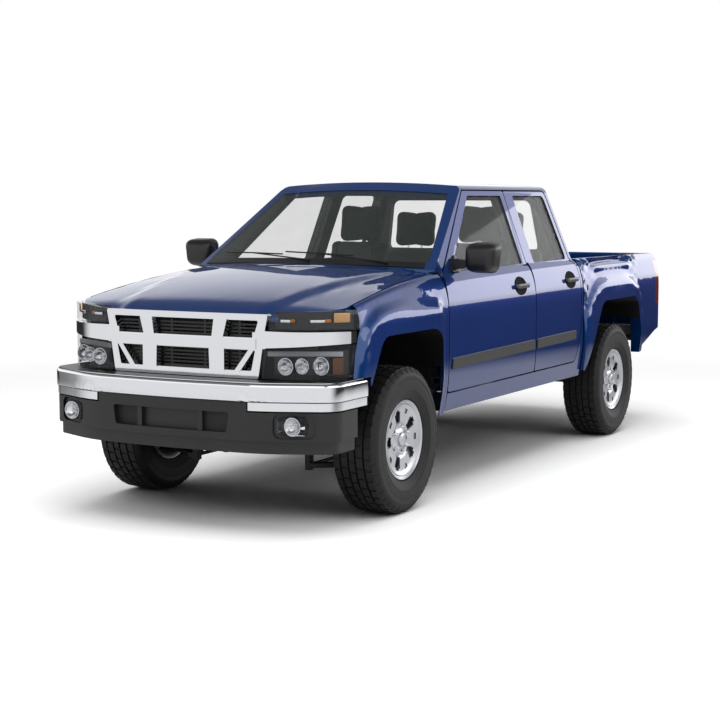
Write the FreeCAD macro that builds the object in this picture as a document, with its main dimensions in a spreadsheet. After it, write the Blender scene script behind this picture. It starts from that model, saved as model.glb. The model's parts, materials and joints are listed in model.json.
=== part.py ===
import FreeCAD, Part
import math
import os
from types import SimpleNamespace

from FreeCAD import Placement, Rotation, Vector
import Sketcher

# A crew-cab four-wheel-drive pickup truck.
# Frame: +Z up from the ground, front of the truck towards -Y, +X on the driver's side.
# The origin is on the ground in the middle of the overall length. Sizes are in millimetres.

os.makedirs("parts", exist_ok=True)
doc = FreeCAD.newDocument("Pickup")

# Driving dimensions, each with the sheet's alias
SIZES = [
    # Layout along the truck
    ("wheelbase", 3200),
    ("front_overhang", 940),
    ("rear_overhang", 1120),
    ("axle_height", 385),
    ("track", 1466),
    ("panel_gap", 8),
    # Body side section
    ("body_half", 840),
    ("rocker_bottom", 470),
    ("tuck_height", 700),
    ("tuck_depth", 28),
    ("crease_height", 985),
    ("shoulder_rise", 262),
    ("shoulder_in", 100),
    ("belt_height", 1212),
    ("glass_base_height", 1232),
    ("glass_base_half", 771),
    ("glass_lean", 0.3698),
    ("window_top", 1648),
    ("door_top", 1676),
    ("rail_height", 1696),
    ("roof_height", 1728),
    # Cab, from the front axle
    ("firewall_back", 465),
    ("cowl_centre_back", 365),
    ("header_back", 1120),
    ("door_front_back", 540),
    ("pillar_back", 1785),
    ("cab_to_rear_axle", 606),
    ("cab_bed_gap", 18),
    ("floor_height", 575),
    ("floor_thick", 20),
    ("door_bottom", 575),
    ("door_thick", 70),
    ("frame_thick", 40),
    ("wall_thick", 50),
    ("roof_thick", 34),
    ("glass_thick", 5),
    ("hinge_inboard", 30),
    ("hinge_ahead", 30),
    ("hinge_pin_radius", 5),
    ("hinge_knuckle_radius", 9),
    ("hinge_low", 640),
    ("hinge_high", 930),
    ("hinge_height", 50),
    # Hood and fenders
    ("hood_thick", 22),
    ("hood_rear_half", 750),
    ("hood_front_half", 803),
    ("hood_edge_rear", 1226),
    ("hood_edge_front", 1096),
    ("hood_centre_rear", 1262),
    ("hood_centre_front", 1118),
    ("hood_bulge", 12),
    ("fender_thick", 6),
    ("flare_out", 31),
    ("arch_top", 946),
    # Front end
    ("grille_y_ahead", 785),
    ("lamp_half", 836),
    ("lip_start", 450),
    ("chrome_top", 752),
    ("chrome_bottom", 657),
    ("fascia_bottom", 408),
    # Bed
    ("bed_floor", 803),
    ("bed_rail", 1236),
    ("bed_inside_half", 728),
    ("wheelhouse_half", 565),
    ("tailgate_half", 684),
    ("tailgate_thick", 56),
    ("bed_length", 1578),
    # Wheels
    ("tyre_radius", 385),
    ("tyre_width", 265),
    ("tread_width", 214),
    ("rim_radius", 208),
    ("rim_width", 216),
    ("hub_bore", 25.05),
    ("spindle_radius", 25),
    ("lug_circle", 139.7),
    ("lug_count", 6),
    ("kingpin_half", 690),
    # Frame
    ("rail_outer", 385),
    ("rail_width", 60),
]

sheet = doc.addObject("Spreadsheet::Sheet", "Sizes")
for row, (alias, value) in enumerate(SIZES, start=1):
    sheet.set(f"A{row}", alias)
    sheet.set(f"B{row}", str(value))
    sheet.setAlias(f"B{row}", alias)
doc.recompute()
s = SimpleNamespace(**{alias: float(sheet.get(alias)) for alias, _ in SIZES})

# Places worked out from the driving dimensions
overall_length = s.wheelbase + s.front_overhang + s.rear_overhang
front_axle = -overall_length / 2 + s.front_overhang
rear_axle = front_axle + s.wheelbase
cab_front = front_axle + s.firewall_back
cab_rear = rear_axle - s.cab_to_rear_axle
bed_front = cab_rear + s.cab_bed_gap
bed_rear = bed_front + s.bed_length
pillar_gap = front_axle + s.pillar_back
door_front = front_axle + s.door_front_back
half_gap = s.panel_gap / 2
wheel_x = s.track / 2
hinge_x = s.body_half - s.hinge_inboard

nodes = {}


# Shapes shared by many pieces

def point(plane, level, u, v):
    """A point on a plane across the truck (XZ), along it (YZ) or level (XY)."""
    if plane == "XZ":
        return Vector(u, level, v)
    if plane == "YZ":
        return Vector(level, u, v)
    return Vector(u, v, level)


def outline(points, plane, level=0.0):
    """Closed wire through (u, v) points. A third number rounds that corner."""
    count = len(points)
    corners = []
    for index, current in enumerate(points):
        here = Vector(current[0], current[1], 0)
        radius = current[2] if len(current) > 2 else 0
        if not radius:
            corners.append((here, None, here))
            continue
        before = Vector(points[index - 1][0], points[index - 1][1], 0)
        after = Vector(points[(index + 1) % count][0], points[(index + 1) % count][1], 0)
        back = (before - here).normalize()
        ahead = (after - here).normalize()
        half = back.getAngle(ahead) / 2
        reach = radius / math.tan(half)
        middle = here + (back + ahead).normalize() * (radius / math.sin(half) - radius)
        corners.append((here + back * reach, middle, here + ahead * reach))
    edges = []
    for index, (start, middle, end) in enumerate(corners):
        if middle is not None:
            arc_points = [point(plane, level, p.x, p.y) for p in (start, middle, end)]
            edges.append(Part.Arc(*arc_points).toShape())
        following = corners[(index + 1) % count][0]
        if end.distanceToPoint(following) > 1e-6:
            line_start = point(plane, level, end.x, end.y)
            line_end = point(plane, level, following.x, following.y)
            edges.append(Part.LineSegment(line_start, line_end).toShape())
    return Part.Wire(edges)


NORMALS = {"XZ": Vector(0, 1, 0), "YZ": Vector(1, 0, 0), "XY": Vector(0, 0, 1)}


def prism(points, plane, low, high):
    """Solid with the given outline, from low to high along the plane's normal."""
    return Part.Face(outline(points, plane, low)).extrude(NORMALS[plane] * (high - low))


def block(x_low, x_high, y_low, y_high, z_low, z_high):
    """Box between two corners."""
    size = (x_high - x_low, y_high - y_low, z_high - z_low)
    return Part.makeBox(*size, Vector(x_low, y_low, z_low))


def rod(start, end, radius):
    """Round bar between two points."""
    along = end - start
    return Part.makeCylinder(radius, along.Length, start, along)


def flip(shape):
    """The same shape on the other side of the truck."""
    return shape.mirror(Vector(0, 0, 0), Vector(1, 0, 0))


def both(shape):
    """A shape and its mirror image."""
    return [shape, flip(shape)]


def fuse(shapes):
    """One solid from shapes that meet."""
    joined = shapes[0]
    for shape in shapes[1:]:
        before = max(joined.Volume, shape.Volume)
        joined = joined.fuse(shape)
        if joined.Volume < before * 0.999:
            raise ValueError(f"joining lost volume at {shape.BoundBox}")
    return joined.removeSplitter()


def carve(shape, tools):
    """The shape with each tool cut away in turn."""
    for tool in tools:
        shape = shape.cut(tool)
    return shape


def surface(rows):
    """Smooth face through a grid of points."""
    patch = Part.BSplineSurface()
    patch.interpolate(rows)
    return patch.toShape()


def spread(low, high, count):
    """Evenly spaced values from low to high."""
    return [low + (high - low) * index / (count - 1) for index in range(count)]


def ease(value):
    """0 below 0, 1 above 1, smooth between."""
    clipped = min(1.0, max(0.0, value))
    return clipped * clipped * (3 - 2 * clipped)


def add(node, shape):
    """Put a finished shape in the document under its node's name."""
    feature = doc.addObject("Part::Feature", node)
    feature.Label = node
    if shape.ShapeType == "Compound" and len(shape.Solids) == 1:
        shape = shape.Solids[0]
    feature.Shape = shape
    nodes[node] = feature
    return feature


# Body side: one section for cab, doors, fenders and bed

def skin_x(z, top_x=None, top_z=None):
    """Half width of the body side at height z."""
    shoulder_x = s.body_half - s.shoulder_in if top_x is None else top_x
    shoulder_z = s.crease_height + s.shoulder_rise if top_z is None else top_z
    if z < s.tuck_height:
        depth = (s.tuck_height - z) / (s.tuck_height - s.rocker_bottom)
        return s.body_half - s.tuck_depth * depth ** 1.5
    if z <= s.crease_height:
        return s.body_half
    rise = min(1.0, (z - s.crease_height) / (shoulder_z - s.crease_height))
    return shoulder_x + (s.body_half - shoulder_x) * math.sqrt(1 - rise * rise)


def glass_x(z):
    """Half width at the side glass, which leans in towards the roof."""
    return s.glass_base_half - (z - s.glass_base_height) * s.glass_lean


# Wheel arches: openings and the flares pressed around them
FRONT_ARCH = [
    (-545, -120),
    (-470, 240),
    (-378, 400, 70),
    (-285, 561, 110),
    (395, 561, 150),
    (468, 300, 200),
    (452, -120),
]
REAR_ARCH = [
    (-600, -120),
    (-585, 90),
    (-400, 400, 200),
    (-290, 561, 110),
    (420, 561, 130),
    (505, 300, 200),
    (505, -120),
]


def arch(points, axle, grow=0.0):
    """Opening over a wheel, in side view, grown all round by a margin."""
    middle = sum(p[0] for p in points) / len(points)
    top = s.arch_top - s.axle_height
    grown = []
    for entry in points:
        u = entry[0] + math.copysign(grow, entry[0] - middle)
        v = entry[1] + (grow if entry[1] > top - 5 else 0)
        grown.append((axle + u, s.axle_height + v) + tuple(entry[2:]))
    return grown


def flare(y, z, axle, centre_shift):
    """How far the wheel-arch flare stands out of the body side."""
    half_length = 478
    half_height = s.arch_top - s.axle_height
    along = abs(y - axle - centre_shift) / half_length
    up = max(0.0, z - s.axle_height) / half_height
    ratio = (along ** 4 + up ** 4) ** 0.25
    return s.flare_out * ease((1.31 - ratio) / 0.12)


def hood_edge(y):
    """Half width and height of the hood's side edge at y."""
    rear = cab_front - 10
    front = front_axle - 560
    along = (y - front) / (rear - front)
    half = s.hood_front_half + (s.hood_rear_half - s.hood_front_half) * along
    height = s.hood_edge_front + (s.hood_edge_rear - s.hood_edge_front) * along
    return half, height + 16 * 4 * along * (1 - along)


def nose_y(x):
    """Plan curve of the grille and lamps across the front."""
    wrap = max(0.0, abs(x) - 560) ** 2 / 460
    return front_axle - s.grille_y_ahead + (x / 860) ** 2 * 60 + wrap


def corner_taper(y):
    """How far the front corner of the body curves inwards."""
    ahead = max(0.0, front_axle - 370 - y)
    return 14 * (ahead / 195) ** 2


# Windscreen surface: base(side) to top(side), side from -1 to 1

def screen_point(side, up):
    """Point of the windscreen's surface, up from 0 at the cowl to 1 at the header."""
    base_y = front_axle + s.cowl_centre_back
    top_y = front_axle + s.header_back
    base = Vector(763 * side, base_y + 142 * side * side, s.hood_centre_rear + 4 - 18 * side * side)
    top = Vector(572 * side, top_y + 32 * side * side, s.rail_height + 10 - 26 * side * side)
    return base + (top - base) * up


SCREEN_IN = Vector(0, 0.54, -0.84)


def screen_face(reach, low, high, inset=0.0):
    """Part of the windscreen's surface, moved inwards by an inset."""
    rows = []
    for side in spread(-reach, reach, 9):
        rows.append([screen_point(side, up) + SCREEN_IN * inset for up in spread(low, high, 4)])
    return surface(rows)


# Cab shell

def skin_edge(side, low, high):
    """Body side section curve on one side, as an edge across the truck."""
    curve = Part.BSplineCurve()
    curve.interpolate([Vector(side * skin_x(z), 0, z) for z in spread(low, high, 12)])
    return curve.toShape()


def cab_section():
    """Outer section of the cab, across the truck."""
    corner_z = s.rail_height + 4
    belt = Vector(skin_x(s.belt_height), 0, s.belt_height)
    base = Vector(s.glass_base_half, 0, s.glass_base_height)
    edge_low = Vector(glass_x(corner_z - 34), 0, corner_z - 34)
    edge_mid = Vector(glass_x(corner_z) - 6, 0, corner_z - 6)
    edge_high = Vector(glass_x(corner_z) - 44, 0, corner_z + 7)
    top = Vector(0, 0, s.roof_height)
    edges = [skin_edge(1, s.rocker_bottom, s.belt_height)]
    edges.append(Part.LineSegment(belt, base).toShape())
    edges.append(Part.LineSegment(base, edge_low).toShape())
    edges.append(Part.Arc(edge_low, edge_mid, edge_high).toShape())
    left = Part.Wire(edges).mirror(Vector(0, 0, 0), Vector(1, 0, 0))
    roof = Part.Arc(edge_high, top, Vector(-edge_high.x, 0, edge_high.z)).toShape()
    low_x = skin_x(s.rocker_bottom)
    low_z = s.rocker_bottom
    floor = Part.LineSegment(Vector(-low_x, 0, low_z), Vector(low_x, 0, low_z)).toShape()
    return Part.Wire(Part.__sortEdges__(edges + [roof, floor] + left.Edges))


def cowl_line(z_low, z_high, ahead):
    """Everything in front of the windscreen's base line, moved ahead by a margin."""
    base_y = front_axle + s.cowl_centre_back - ahead
    curve = [Vector(763 * side, base_y + 142 * side * side, z_low) for side in spread(-1.2, 1.2, 9)]
    line = Part.BSplineCurve()
    line.interpolate(curve)
    start = curve[0]
    end = curve[-1]
    front_y = base_y - 600
    edges = [line.toShape()]
    edges.append(Part.LineSegment(end, Vector(end.x, front_y, z_low)).toShape())
    edges.append(Part.LineSegment(Vector(end.x, front_y, z_low), Vector(start.x, front_y, z_low)).toShape())
    edges.append(Part.LineSegment(Vector(start.x, front_y, z_low), start).toShape())
    return Part.Face(Part.Wire(edges)).extrude(Vector(0, 0, z_high - z_low))


def cab_outer():
    """Cab filled solid: section, side profile, windscreen and the cowl box under it."""
    nose = 118
    section = Part.Face(cab_section())
    section.translate(Vector(0, cab_front - nose, 0))
    body = section.extrude(Vector(0, cab_rear - cab_front + nose, 0))
    side = [(cab_front, s.rocker_bottom - 10), (cab_rear, s.rocker_bottom - 10)]
    side += [(cab_rear, 1196, 30), (cab_rear - 46, 1238, 30), (cab_rear - 104, 1760)]
    side += [(cab_front - nose, 1760), (cab_front - nose, 1120), (cab_front, 1060)]
    body = body.common(prism(side, "YZ", -900, 900))
    ahead = screen_face(1.4, -0.35, 1.25).extrude(Vector(0, -900, 560))
    return carve(body, [ahead, cowl_line(1000, 1400, 8)])


def cab_inner():
    """Hollow of the cab."""
    low = s.floor_height
    wall = s.body_half - s.door_thick - 5 - s.wall_thick
    lean = s.frame_thick + 38
    top = s.rail_height - s.roof_thick
    section = [(-wall, low, 40), (wall, low, 40), (wall, 1180, 30)]
    section += [(glass_x(1232) - lean, 1236, 30), (glass_x(top) - lean + 8, top - 6, 50)]
    section += [(0, s.roof_height - s.roof_thick + 4)]
    section += [(-glass_x(top) + lean - 8, top - 6, 50), (-glass_x(1232) + lean, 1236, 30), (-wall, 1180, 30)]
    body = prism(section, "XZ", cab_front + 30, cab_rear - 40)
    side = [(cab_front + 30, low - 10), (cab_rear - 40, low - 10), (cab_rear - 40, 1180, 30)]
    side += [(cab_rear - 86, 1232, 30), (cab_rear - 138, s.roof_height - s.roof_thick, 60)]
    side += [(cab_front + 30, 1760)]
    body = body.common(prism(side, "YZ", -900, 900))
    ahead = screen_face(1.4, -0.35, 1.25, 40).extrude(Vector(0, -900, 560))
    tunnel = prism(
        [(-205, low - 20), (205, low - 20), (170, 700, 40), (-170, 700, 40)],
        "XZ",
        cab_front,
        front_axle + 1800,
    )
    return body.cut(ahead).cut(tunnel)


# Doors in side view
door_rear_top = cab_rear - 36
window_sill = s.glass_base_height + 4
FRONT_DOOR = [
    (door_front, s.door_bottom, 25),
    (pillar_gap - half_gap, s.door_bottom, 12),
    (pillar_gap - half_gap, s.door_top, 16),
    (front_axle + 1190, s.door_top, 40),
    (front_axle + 592, 1222, 12),
    (door_front, 1188, 10),
]
FRONT_WINDOW = [
    (front_axle + 702, window_sill - 8, 12),
    (pillar_gap - 62, window_sill, 14),
    (pillar_gap - 60, s.window_top, 14),
    (front_axle + 1242, s.window_top, 26),
]
REAR_DOOR = [
    (pillar_gap + half_gap, s.door_bottom, 12),
    (door_rear_top - 82, s.door_bottom, 30),
    (door_rear_top, 770, 60),
    (door_rear_top, 1190, 14),
    (cab_rear - 92, 1244, 14),
    (cab_rear - 142, s.door_top, 50),
    (pillar_gap + half_gap, s.door_top, 16),
]
REAR_WINDOW = [
    (pillar_gap + 124, window_sill, 14),
    (cab_rear - 136, window_sill + 4, 30),
    (cab_rear - 180, s.window_top, 40),
    (pillar_gap + 126, s.window_top, 14),
]
# Both doors' outline together, grown by the gap, clears the body side behind them
DOOR_POCKET = [
    (door_front - s.panel_gap, s.door_bottom - s.panel_gap, 25),
    (door_rear_top - 78, s.door_bottom - s.panel_gap, 30),
    (door_rear_top + s.panel_gap, 766, 60),
    (door_rear_top + s.panel_gap, 1194, 14),
    (cab_rear - 80, 1248, 14),
    (cab_rear - 129, s.door_top + s.panel_gap, 50),
    (front_axle + 1186, s.door_top + s.panel_gap, 40),
    (front_axle + 578, 1228, 12),
    (door_front - s.panel_gap, 1196, 10),
]
# More room, behind the outer panel only, for the rear door's inner edge as it swings
SWING_ROOM = [
    (cab_rear - 160, 1240),
    (cab_rear - 68, 1240),
    (cab_rear - 117, s.door_top + s.panel_gap),
    (cab_rear - 210, s.door_top + s.panel_gap),
]
FRONT_ENTRY = [
    (door_front + 62, 660, 80),
    (pillar_gap - 62, 640, 60),
    (pillar_gap - 62, s.window_top + 2, 40),
    (front_axle + 1262, s.window_top + 2, 40),
    (front_axle + 730, 1236, 60),
    (door_front + 62, 1150, 60),
]
REAR_ENTRY = [
    (pillar_gap + 62, 640, 60),
    (door_rear_top - 150, 640, 90),
    (door_rear_top - 70, 790, 120),
    (door_rear_top - 70, 1150, 60),
    (cab_rear - 150, 1250, 60),
    (cab_rear - 192, s.window_top + 2, 60),
    (pillar_gap + 62, s.window_top + 2, 40),
]


def outboard(inset_low, inset_high, reach=940):
    """Section of everything outside the doors' inner face, across the truck."""
    low_x = s.body_half - inset_low
    shoulder_z = 1188
    return [
        (low_x, 440),
        (reach, 440),
        (reach, 1800),
        (glass_x(1800) - inset_high, 1800),
        (glass_x(1240) - inset_high, 1240),
        (low_x, shoulder_z),
    ]


def hinge_bracket(y):
    """Fixed half of a door's hinges: two lugs and a pin on the pillar."""
    pieces = []
    pillar_x = s.body_half - s.door_thick - 5
    for middle in (s.hinge_low, s.hinge_high):
        low = middle - s.hinge_height / 2
        high = middle + s.hinge_height / 2
        lug = [
            (pillar_x - 20, y - 16),
            (hinge_x + 9, y - 9, 8),
            (hinge_x + 9, y + 9, 8),
            (pillar_x - 20, y + 9),
        ]
        pieces.append(prism(lug, "XY", low, low + 10))
        pieces.append(prism(lug, "XY", high - 10, high))
        pieces.append(rod(Vector(hinge_x, y, low + 5), Vector(hinge_x, y, high - 5), s.hinge_pin_radius))
        pieces.append(block(pillar_x - 20, pillar_x + 2, y - 16, y + 9, low, high))
    return pieces


def hinge_strap(y, door_edge):
    """Moving half of a door's hinges: knuckles and straps into the door's front face."""
    pieces = []
    for middle in (s.hinge_low, s.hinge_high):
        low = middle - s.hinge_height / 2 + 10.5
        high = middle + s.hinge_height / 2 - 10.5
        strap = [
            (hinge_x - 9, y - 3),
            (hinge_x - 30, y + 14),
            (hinge_x - 34, y + 30),
            (hinge_x - 34, door_edge + 50),
            (hinge_x - 18, door_edge + 50),
            (hinge_x - 18, y + 32),
            (hinge_x - 17, y + 20),
            (hinge_x + 3, y + 8),
        ]
        knuckle = rod(Vector(hinge_x, y, low), Vector(hinge_x, y, high), s.hinge_knuckle_radius)
        bore = rod(Vector(hinge_x, y, low - 2), Vector(hinge_x, y, high + 2), s.hinge_pin_radius + 0.05)
        pieces.append(knuckle.fuse(prism(strap, "XY", low, high)).cut(bore))
    return pieces


front_hinge_y = door_front - s.hinge_ahead
rear_hinge_y = pillar_gap + half_gap - s.hinge_ahead


def hood_hinge_lugs():
    """Fixed half of the hood's hinges, on the firewall."""
    pieces = []
    for side in (-1, 1):
        for offset in (-15, 15):
            lug = [
                (hood_hinge_y - 9, hood_hinge_z - 50),
                (hood_hinge_y + 56, hood_hinge_z - 70),
                (hood_hinge_y + 56, hood_hinge_z - 24),
                (hood_hinge_y + 9, hood_hinge_z + 9, 8),
                (hood_hinge_y - 9, hood_hinge_z + 9, 8),
            ]
            x = side * hood_hinge_x + offset
            pieces.append(prism(lug, "YZ", x - 4, x + 4))
        pin_start = Vector(side * hood_hinge_x - 18, hood_hinge_y, hood_hinge_z)
        pin_end = Vector(side * hood_hinge_x + 18, hood_hinge_y, hood_hinge_z)
        pieces.append(rod(pin_start, pin_end, s.hinge_pin_radius))
    return pieces


hood_hinge_y = cab_front - 75
hood_hinge_z = s.hood_edge_rear - 13
hood_hinge_x = 560


def fender_face():
    """Outer surface of the front fender on the driver's side."""
    rows = []
    for y in spread(front_axle - 575, door_front - s.panel_gap, 30):
        edge_half, edge_height = hood_edge(y)
        row = []
        for z in spread(s.rocker_bottom - 10, s.crease_height, 9):
            fade = ease((door_front - 50 - y) / 110)
            out = flare(y, z, front_axle, 45) * fade
            row.append(Vector(skin_x(z) + out - corner_taper(y), y, z))
        for turn in spread(0.16, 1.0, 6):
            angle = turn * math.pi / 2
            z = s.crease_height + (edge_height - s.crease_height) * math.sin(angle)
            out = flare(y, z, front_axle, 45) * ease((door_front - 50 - y) / 110)
            x = edge_half + (s.body_half - edge_half) * math.cos(angle)
            row.append(Vector(x + out - corner_taper(y) * math.cos(angle), y, z))
        rows.append(row)
    return surface(rows)


def beyond_fender():
    """Everything outboard of the fender's inner side, less a hair's gap."""
    face = fender_face()
    gap = s.fender_thick + 0.3
    face.translate(Vector(-gap, 0, -gap))
    return face.extrude(Vector(120, 0, 0))


def build_cab():
    """Cab shell: floor, firewall, pillars, roof and back wall."""
    shell = cab_outer().cut(cab_inner())
    under = block(-698, 698, cab_front - 5, cab_rear + 5, 400, s.floor_height - s.floor_thick)
    tunnel_under = prism(
        [(-185, 500), (185, 500), (152, 682, 30), (-152, 682, 30)], "XZ", cab_front - 5, front_axle + 1780
    )
    shell = carve(shell, [under, tunnel_under])
    pocket = prism(DOOR_POCKET, "YZ", 500, 900)
    pocket = pocket.common(
        prism(outboard(s.door_thick + 5, s.frame_thick + 5), "XZ", door_front - 50, cab_rear + 50)
    )
    swing = prism(SWING_ROOM, "YZ", 500, 900)
    reach = (door_front, cab_rear + 50)
    inside = prism(outboard(s.door_thick + 5, s.frame_thick + 5), "XZ", *reach)
    swing = swing.common(inside).cut(prism(outboard(12, 12), "XZ", *reach))
    entries = [prism(FRONT_ENTRY, "YZ", 400, 900), prism(REAR_ENTRY, "YZ", 400, 900)]
    shell = carve(shell, both(pocket) + both(swing) + both(entries[0]) + both(entries[1]))
    opening = screen_face(0.95, 0.07, 0.945, -60).extrude(SCREEN_IN * 160)
    back = prism(BACK_GLASS, "XZ", cab_rear - 220, cab_rear + 20)
    behind_fender = block(757, 900, cab_front - 140, door_front - 2, 430, 1205)
    under_fender_top = block(735, 900, cab_front - 140, door_front - 2, 1204, 1232)
    shell = carve(shell, [opening, back] + both(behind_fender) + both(under_fender_top))
    brackets = []
    for y in (front_hinge_y, rear_hinge_y):
        for piece in hinge_bracket(y):
            brackets += both(piece)
    fender_foot = block(745, 850, cab_front + 4, cab_front + 34, 480, 540).cut(beyond_fender())
    return fuse([shell] + brackets + hood_hinge_lugs() + both(fender_foot))


BACK_GLASS = [(-560, 1275, 50), (560, 1275, 50), (505, 1618, 50), (-505, 1618, 50)]


def back_glass():
    """Back window pane, lying in the back wall's slope."""
    lean_y = cab_rear - 46
    slope = 58 / 522
    thick = s.glass_thick
    pane = [
        (lean_y - 20 - (1275 - 1238) * slope, 1275.3),
        (lean_y - 20 + thick - (1275 - 1238) * slope, 1275.3),
        (lean_y - 20 + thick - (1618 - 1238) * slope, 1617.7),
        (lean_y - 20 - (1618 - 1238) * slope, 1617.7),
    ]
    inset = [(-559.7, 1275.3, 50), (559.7, 1275.3, 50), (504.7, 1617.7, 50), (-504.7, 1617.7, 50)]
    return prism(pane, "YZ", -600, 600).common(prism(inset, "XZ", cab_rear - 300, cab_rear + 20))


def front_glass():
    """Windscreen pane, curved, in its opening."""
    return screen_face(0.9496, 0.0704, 0.9446, 3).extrude(SCREEN_IN * s.glass_thick)


add("cab_shell", build_cab())
add("cab_glass", Part.makeCompound([front_glass(), back_glass()]))


# Doors

def before_door(lead, gap=0.0):
    """Space ahead of a door's leading face, which slants back to swing clear of the pillar."""
    outer_x = s.body_half + 20
    inner_x = s.body_half - s.door_thick - 10
    return [
        (outer_x, lead - 60), (outer_x, lead - 8.6 - gap), (inner_x, lead + 34.3 - gap), (inner_x, lead - 60),
    ]


def door_blank(shape_outline, window, lead, trail):
    """A door as thick as the real one, with its window cut, on the driver's side."""
    section = Part.Face(cab_section())
    section.translate(Vector(0, cab_front, 0))
    body = section.extrude(Vector(0, cab_rear - cab_front, 0))
    slab = prism(outboard(s.door_thick, s.frame_thick), "XZ", cab_front, cab_rear)
    body = body.common(slab).common(prism(shape_outline, "YZ", 500, 900))
    body = body.cut(prism(window, "YZ", 500, 900))
    body = body.cut(prism(before_door(lead), "XY", 440, 1240))
    # The trailing edge is a thin flange that closes over the pillar
    flange = 12
    rebate = [
        (s.body_half - s.door_thick - 10, 440),
        (s.body_half - flange, 440),
        (s.body_half - flange, s.crease_height),
        (skin_x(s.belt_height) - flange, s.belt_height + 20),
        (s.body_half - s.door_thick - 10, s.belt_height + 20),
    ]
    return body.cut(prism(rebate, "XZ", trail - 60, trail + 10))


def door_pane(window, lead):
    """Side window pane, filling the window at the frame's middle."""
    inside = prism(window, "YZ", 500, 900)
    outer = [
        (glass_x(1200) - 8, 1200),
        (glass_x(1700) - 8, 1700),
        (glass_x(1700) - 8 - s.glass_thick, 1700),
        (glass_x(1200) - 8 - s.glass_thick, 1200),
    ]
    return prism(outer, "XZ", lead, cab_rear).common(inside)


def door_shell(shape_outline, window, lead, trail, hinge_y):
    """Door with its hinge straps, whose feet seat on its leading face."""
    body = door_blank(shape_outline, window, lead, trail)
    ahead = prism(before_door(lead, 0.3), "XY", 440, 1240)
    return Part.makeCompound([body] + [strap.common(ahead) for strap in hinge_strap(hinge_y, lead)])


front_door = door_shell(FRONT_DOOR, FRONT_WINDOW, door_front, pillar_gap - half_gap, front_hinge_y)
rear_door = door_shell(REAR_DOOR, REAR_WINDOW, pillar_gap + half_gap, door_rear_top, rear_hinge_y)
add("door_front_left", front_door)
add("door_front_right", flip(front_door))
add("door_rear_left", rear_door)
add("door_rear_right", flip(rear_door))
front_pane = door_pane(FRONT_WINDOW, door_front)
rear_pane = door_pane(REAR_WINDOW, pillar_gap)
add("door_glass_front_left", front_pane)
add("door_glass_front_right", flip(front_pane))
add("door_glass_rear_left", rear_pane)
add("door_glass_rear_right", flip(rear_pane))


# Fenders, hood and the structure under them

def fender():
    """Front fender on the driver's side: pressed skin with its flare."""
    front = front_axle - 575
    rear = door_front - s.panel_gap
    skin = fender_face().extrude(Vector(-s.fender_thick, 0, -s.fender_thick))
    lower = front_axle - 420
    side = [
        (front + 4, 758), (lower, 758), (lower, 300), (rear - 1, 300), (rear - 1, 1400), (front + 4, 1400),
    ]
    skin = skin.common(prism(side, "YZ", 500, 1000))
    skin = skin.cut(prism(arch(FRONT_ARCH, front_axle), "YZ", 500, 1000))
    # The lamps end where the fender starts
    lamp_end = block(400, s.lamp_half + 1, front - 20, front_axle - 480, 740, 1300)
    return max(skin.cut(lamp_end).Solids, key=lambda solid: solid.Volume)


def hood_height(x, y):
    """Top of the hood: crowned, with a raised middle between two creases."""
    edge_half, edge_height = hood_edge(y)
    rear = front_axle + s.cowl_centre_back - 20
    front = front_axle - 610
    along = (y - front) / (rear - front)
    centre = s.hood_centre_front + (s.hood_centre_rear - s.hood_centre_front) * along
    centre += 22 * 4 * along * (1 - along) if along > 0 else 0
    crease = 455 + 175 * along
    across = min(1.0, abs(x) / edge_half)
    crown = edge_height + (centre - edge_height) * (1 - across ** 2.2)
    nose = 30 * (max(0.0, front + 25 - y) / 140) ** 2
    return crown + s.hood_bulge * ease((crease - abs(x)) / 60 + 0.5) - nose


def hood_plan(level, grow=0.0):
    """Hood outline seen from above."""
    rear_side = cab_front - 24 + grow
    rear_mid = front_axle + s.cowl_centre_back - 40 + grow
    front_mid = front_axle - 752 - grow
    rear_half = s.hood_rear_half - 12 + grow
    front_half = s.hood_front_half - 13 + grow
    half = [
        (0, rear_mid),
        (rear_half * 0.55, rear_mid + 38, 600),
        (rear_half, rear_side, 14),
        (front_half, front_axle - 545, 60),
        (718, front_axle - 640, 120),
        (500, front_axle - 726, 260),
    ]
    other = [(-p[0],) + tuple(p[1:]) for p in reversed(half[1:])]
    return half + [(0, front_mid)] + other


def hood():
    """Hood with its underside frame and hinge arms."""
    rows = []
    for x in spread(-800, 800, 33):
        rows.append([Vector(x, y, hood_height(x, y)) for y in spread(front_axle - 800, cab_front + 20, 26)])
    skin = surface(rows).extrude(Vector(0, 0, -s.hood_thick))
    panel = skin.common(prism(hood_plan(0), "XY", 900, 1400))
    arms = []
    for side in (-1, 1):
        arm_top = hood_height(hood_hinge_x, hood_hinge_y) - s.hood_thick + 3
        low = block(-8, 8, hood_hinge_y - 60, hood_hinge_y + 9, hood_hinge_z - 9, arm_top)
        low.translate(Vector(side * hood_hinge_x, 0, 0))
        bore = rod(
            Vector(side * hood_hinge_x - 20, hood_hinge_y, hood_hinge_z),
            Vector(side * hood_hinge_x + 20, hood_hinge_y, hood_hinge_z),
            5.05,
        )
        arms.append(low.cut(bore))
    return fuse([panel] + arms)


def liner():
    """Wheel-arch liner on the driver's side."""
    outside = prism(arch(FRONT_ARCH, front_axle, 14), "YZ", 425, 880)
    inside = prism(arch(FRONT_ARCH, front_axle, 8), "YZ", 400, 900)
    shell = carve(outside, [inside, beyond_fender(), block(400, 900, cab_front - 0.3, 0, 200, 1300)])
    below_front = block(400, 900, front_axle - 700, front_axle, 200, 756)
    below_rear = block(400, 900, front_axle, front_axle + 600, 200, 476)
    return carve(shell, [below_front, below_rear])


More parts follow.
